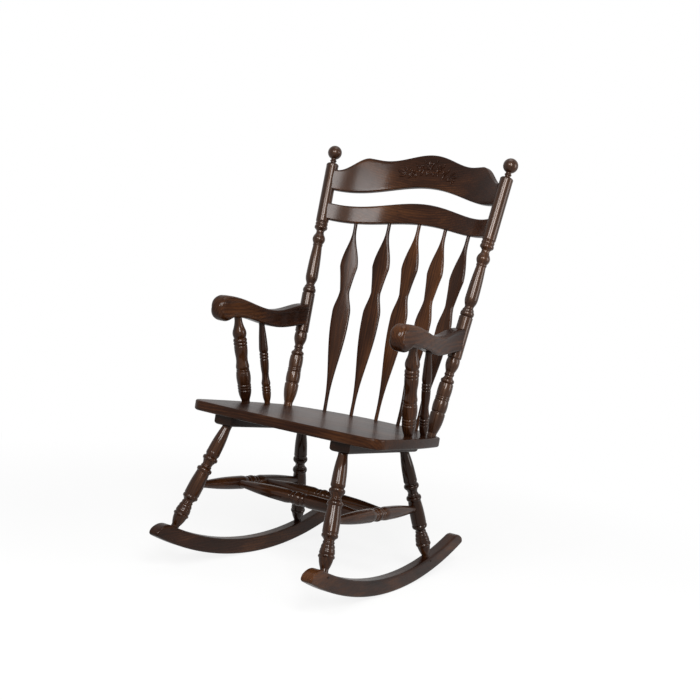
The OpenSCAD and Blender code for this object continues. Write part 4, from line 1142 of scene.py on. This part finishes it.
# Arm posts and spindles, from the seat up to the arm. `foot` is a place on the seat.
armPostD, armPostFoot, armPostTop = 41, 24, 22
armPost = {
    "foot": (276, -42), "topY": -97, "socket": 16,
    "stick": [
        [0, armPostFoot], [8, armPostFoot, 0], [39, armPostD * 0.95, 1.2],
        [41, armPostD * 0.86, 0], [50, armPostD * 0.88, 1.8, "bead"],
        [58, armPostD * 0.88, 1.8, "bead"], [60, armPostD * 0.94, 0], [97, armPostD * 0.96, 1.4],
        [99, armPostD * 0.84, 0], [104, armPostD * 0.86, 1.5, "bead"], [115, armPostD * 0.93, 0.8],
        [142, armPostD * 0.83, -1], [176, armPostD * 0.93, 0.8], [178, armPostD * 0.84, 0],
        [188, armPostD * 0.84, 2.6, "bead"], [199, armPostD * 0.82, 2.8, "bead"],
        [201, armPostD * 0.84, 0], [224, armPostD * 0.9, 2.2], [253, armPostTop, -1],
        [263, armPostTop, 0],
    ],
}
spindleD, spindleEnd = 27.5, 17
spindle = {
    "foot": (268.5, 53), "topY": 4, "socket": 16,
    "stick": [
        [0, spindleEnd], [7, spindleEnd, 0], [36, spindleD * 0.94, 1.2], [37.5, spindleD * 0.8, 0],
        [46, spindleD * 0.8, 2.4, "bead"], [54, spindleD * 0.8, 2.4, "bead"], [56, spindleD * 0.86, 0],
        [66, spindleD * 0.95, 0.8], [92, spindleD * 0.74, -0.8], [136, spindleD * 0.92, 0.8],
        [138, spindleD * 0.78, 0], [147, spindleD * 0.8, 2.4, "bead"], [156, spindleD * 0.78, 2.4, "bead"],
        [158, spindleD * 0.88, 0], [168, spindleD * 0.98, 0.4], [236, spindleEnd, 0.6],
        [243, spindleEnd, 0],
    ],
}
for label, piece in (("arm_post", armPost), ("arm_spindle", spindle)):
    foot = onSeat(*piece["foot"])
    top = np.array([armX(piece["topY"]), piece["topY"], armUnder(piece["topY"])])
    for side, flip in sides:
        a, b = foot * [flip, 1, 1], top * [flip, 1, 1]
        material = walnut(f"{label}Walnut_{side}", b - a, 0.85, (0.4, 0.3 * flip, 0.2), polish="turnings")
        rings = turnedStick(piece["stick"], a, b, piece["socket"], piece["socket"])
        addPiece(f"turned_{label}_{side}", *skin(rings), material, f"{label}_{side}")
print("arm posts and spindles turned")

# Battens, screws and pins keep their built shapes and only get their finish.
battenWood = walnut("battenWalnut", (0, 1, 0), 0.9, (0.1, 0.2, 0.5))
pinWood = walnut("pinWalnut", (1, 0, 0), 0.8)
steel = zincSteel("zincSteel")
for name, material in (
    ("seat_batten_left", battenWood), ("seat_batten_right", battenWood), ("rocker_pins", pinWood),
    ("rail_pins", pinWood), ("batten_screws", steel), ("arm_screws", steel),
):
    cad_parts[name].data.materials.clear()
    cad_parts[name].data.materials.append(material)
print("battens and fasteners finished")

# The studio: a pale floor, a white surround and soft lamps. `shadowShare` is how much of the floor's own
# shading shows near the chair. It fades to plain white over `shadowReach`, in metres.
studio = {
    "surround": 0.15,
    "floor": (0.75, 0.75, 0.74),
    "floorRoughness": 0.9,
    "floorHalf": 30,
    "floorDrop": 0.0005,
    "shadowShare": 0.15,
    "shadowReach": (0.7, 1.9),
    "lampsAim": (0, 0, 0.6),
    "lamps": (
        {"name": "keySoftbox", "place": (0.40, -2.80, 2.35), "size": (1.1, 0.7), "power": 66},
        {"name": "cameraSoftbox", "place": (2.05, -2.40, 2.35), "size": (1.0, 1.7), "power": 165},
        {"name": "rightSoftbox", "place": (3.1, 1.1, 1.3), "size": (1.2, 1.8), "power": 60},
        {"name": "topSoftbox", "place": (0.1, 0.3, 3.1), "size": (1.2, 1.2), "power": 14},
    ),
}


# Two shaders mixed by a socket's value, and given to the node that ends the tree.
def mixedOutput(owner, output, share, first, second):
    mixer = addNode(owner, "ShaderNodeMixShader")
    for source, taken in zip((share, first.outputs[0], second.outputs[0]), mixer.inputs):
        owner.node_tree.links.new(source, taken)
    owner.node_tree.links.new(mixer.outputs[0], owner.node_tree.nodes[output].inputs["Surface"])


far = studio["floorHalf"]
floorMesh = bpy.data.meshes.new("studioFloor")
floorMesh.from_pydata([(-far, -far, 0), (far, -far, 0), (far, far, 0), (-far, far, 0)], [], [(0, 1, 2, 3)])
floorObject = bpy.data.objects.new("studioFloor", floorMesh)
floorObject.location.z = -studio["floorDrop"]
bpy.context.scene.collection.objects.link(floorObject)
floorMaterial = bpy.data.materials.new("paleFloor")
floorMaterial.use_nodes = True
floorLinks = floorMaterial.node_tree.links
floorShader = floorMaterial.node_tree.nodes["Principled BSDF"]
floorShader.inputs["Base Color"].default_value = (*studio["floor"], 1)
floorShader.inputs["Roughness"].default_value = studio["floorRoughness"]
floorCoords = addNode(floorMaterial, "ShaderNodeTexCoord")
floorAway = addNode(floorMaterial, "ShaderNodeVectorMath", operation="LENGTH")
floorLinks.new(floorCoords.outputs["Object"], floorAway.inputs[0])
fading = (*studio["shadowReach"], 1 - studio["shadowShare"], 1)
floorFade = mapped(floorMaterial, floorAway.outputs["Value"], fading, interpolation_type="SMOOTHSTEP")
floorShare = addNode(floorMaterial, "ShaderNodeMath", operation="MULTIPLY")
floorLinks.new(anyRay(floorMaterial, ("Is Camera Ray", "Is Glossy Ray")), floorShare.inputs[0])
floorLinks.new(floorFade, floorShare.inputs[1])
floorGlow = addNode(floorMaterial, "ShaderNodeEmission", Strength=1.0)
mixedOutput(floorMaterial, "Material Output", floorShare.outputs[0], floorShader, floorGlow)
floorMesh.materials.append(floorMaterial)

world = bpy.data.worlds.new("studioSurround")
bpy.context.scene.world = world
world.use_nodes = True
light = world.node_tree.nodes["Background"]
light.inputs["Color"].default_value = (1, 1, 1, 1)
light.inputs["Strength"].default_value = studio["surround"]
seen = addNode(world, "ShaderNodeBackground", Color=(1, 1, 1, 1), Strength=1.0)
seenBy = anyRay(world, ("Is Camera Ray", "Is Glossy Ray", "Is Transmission Ray"))
mixedOutput(world, "World Output", seenBy, light, seen)

for lamp in studio["lamps"]:
    data = bpy.data.lights.new(lamp["name"], "AREA")
    data.shape = "RECTANGLE"
    data.size, data.size_y = lamp["size"]
    data.energy = lamp["power"]
    holder = bpy.data.objects.new(lamp["name"], data)
    aim = (Vector(studio["lampsAim"]) - Vector(lamp["place"])).to_track_quat("-Z", "Y")
    holder.matrix_world = Matrix.Translation(lamp["place"]) @ aim.to_matrix().to_4x4()
    bpy.context.scene.collection.objects.link(holder)
bpy.context.scene.view_settings.view_transform = "Standard"
print("studio lit")

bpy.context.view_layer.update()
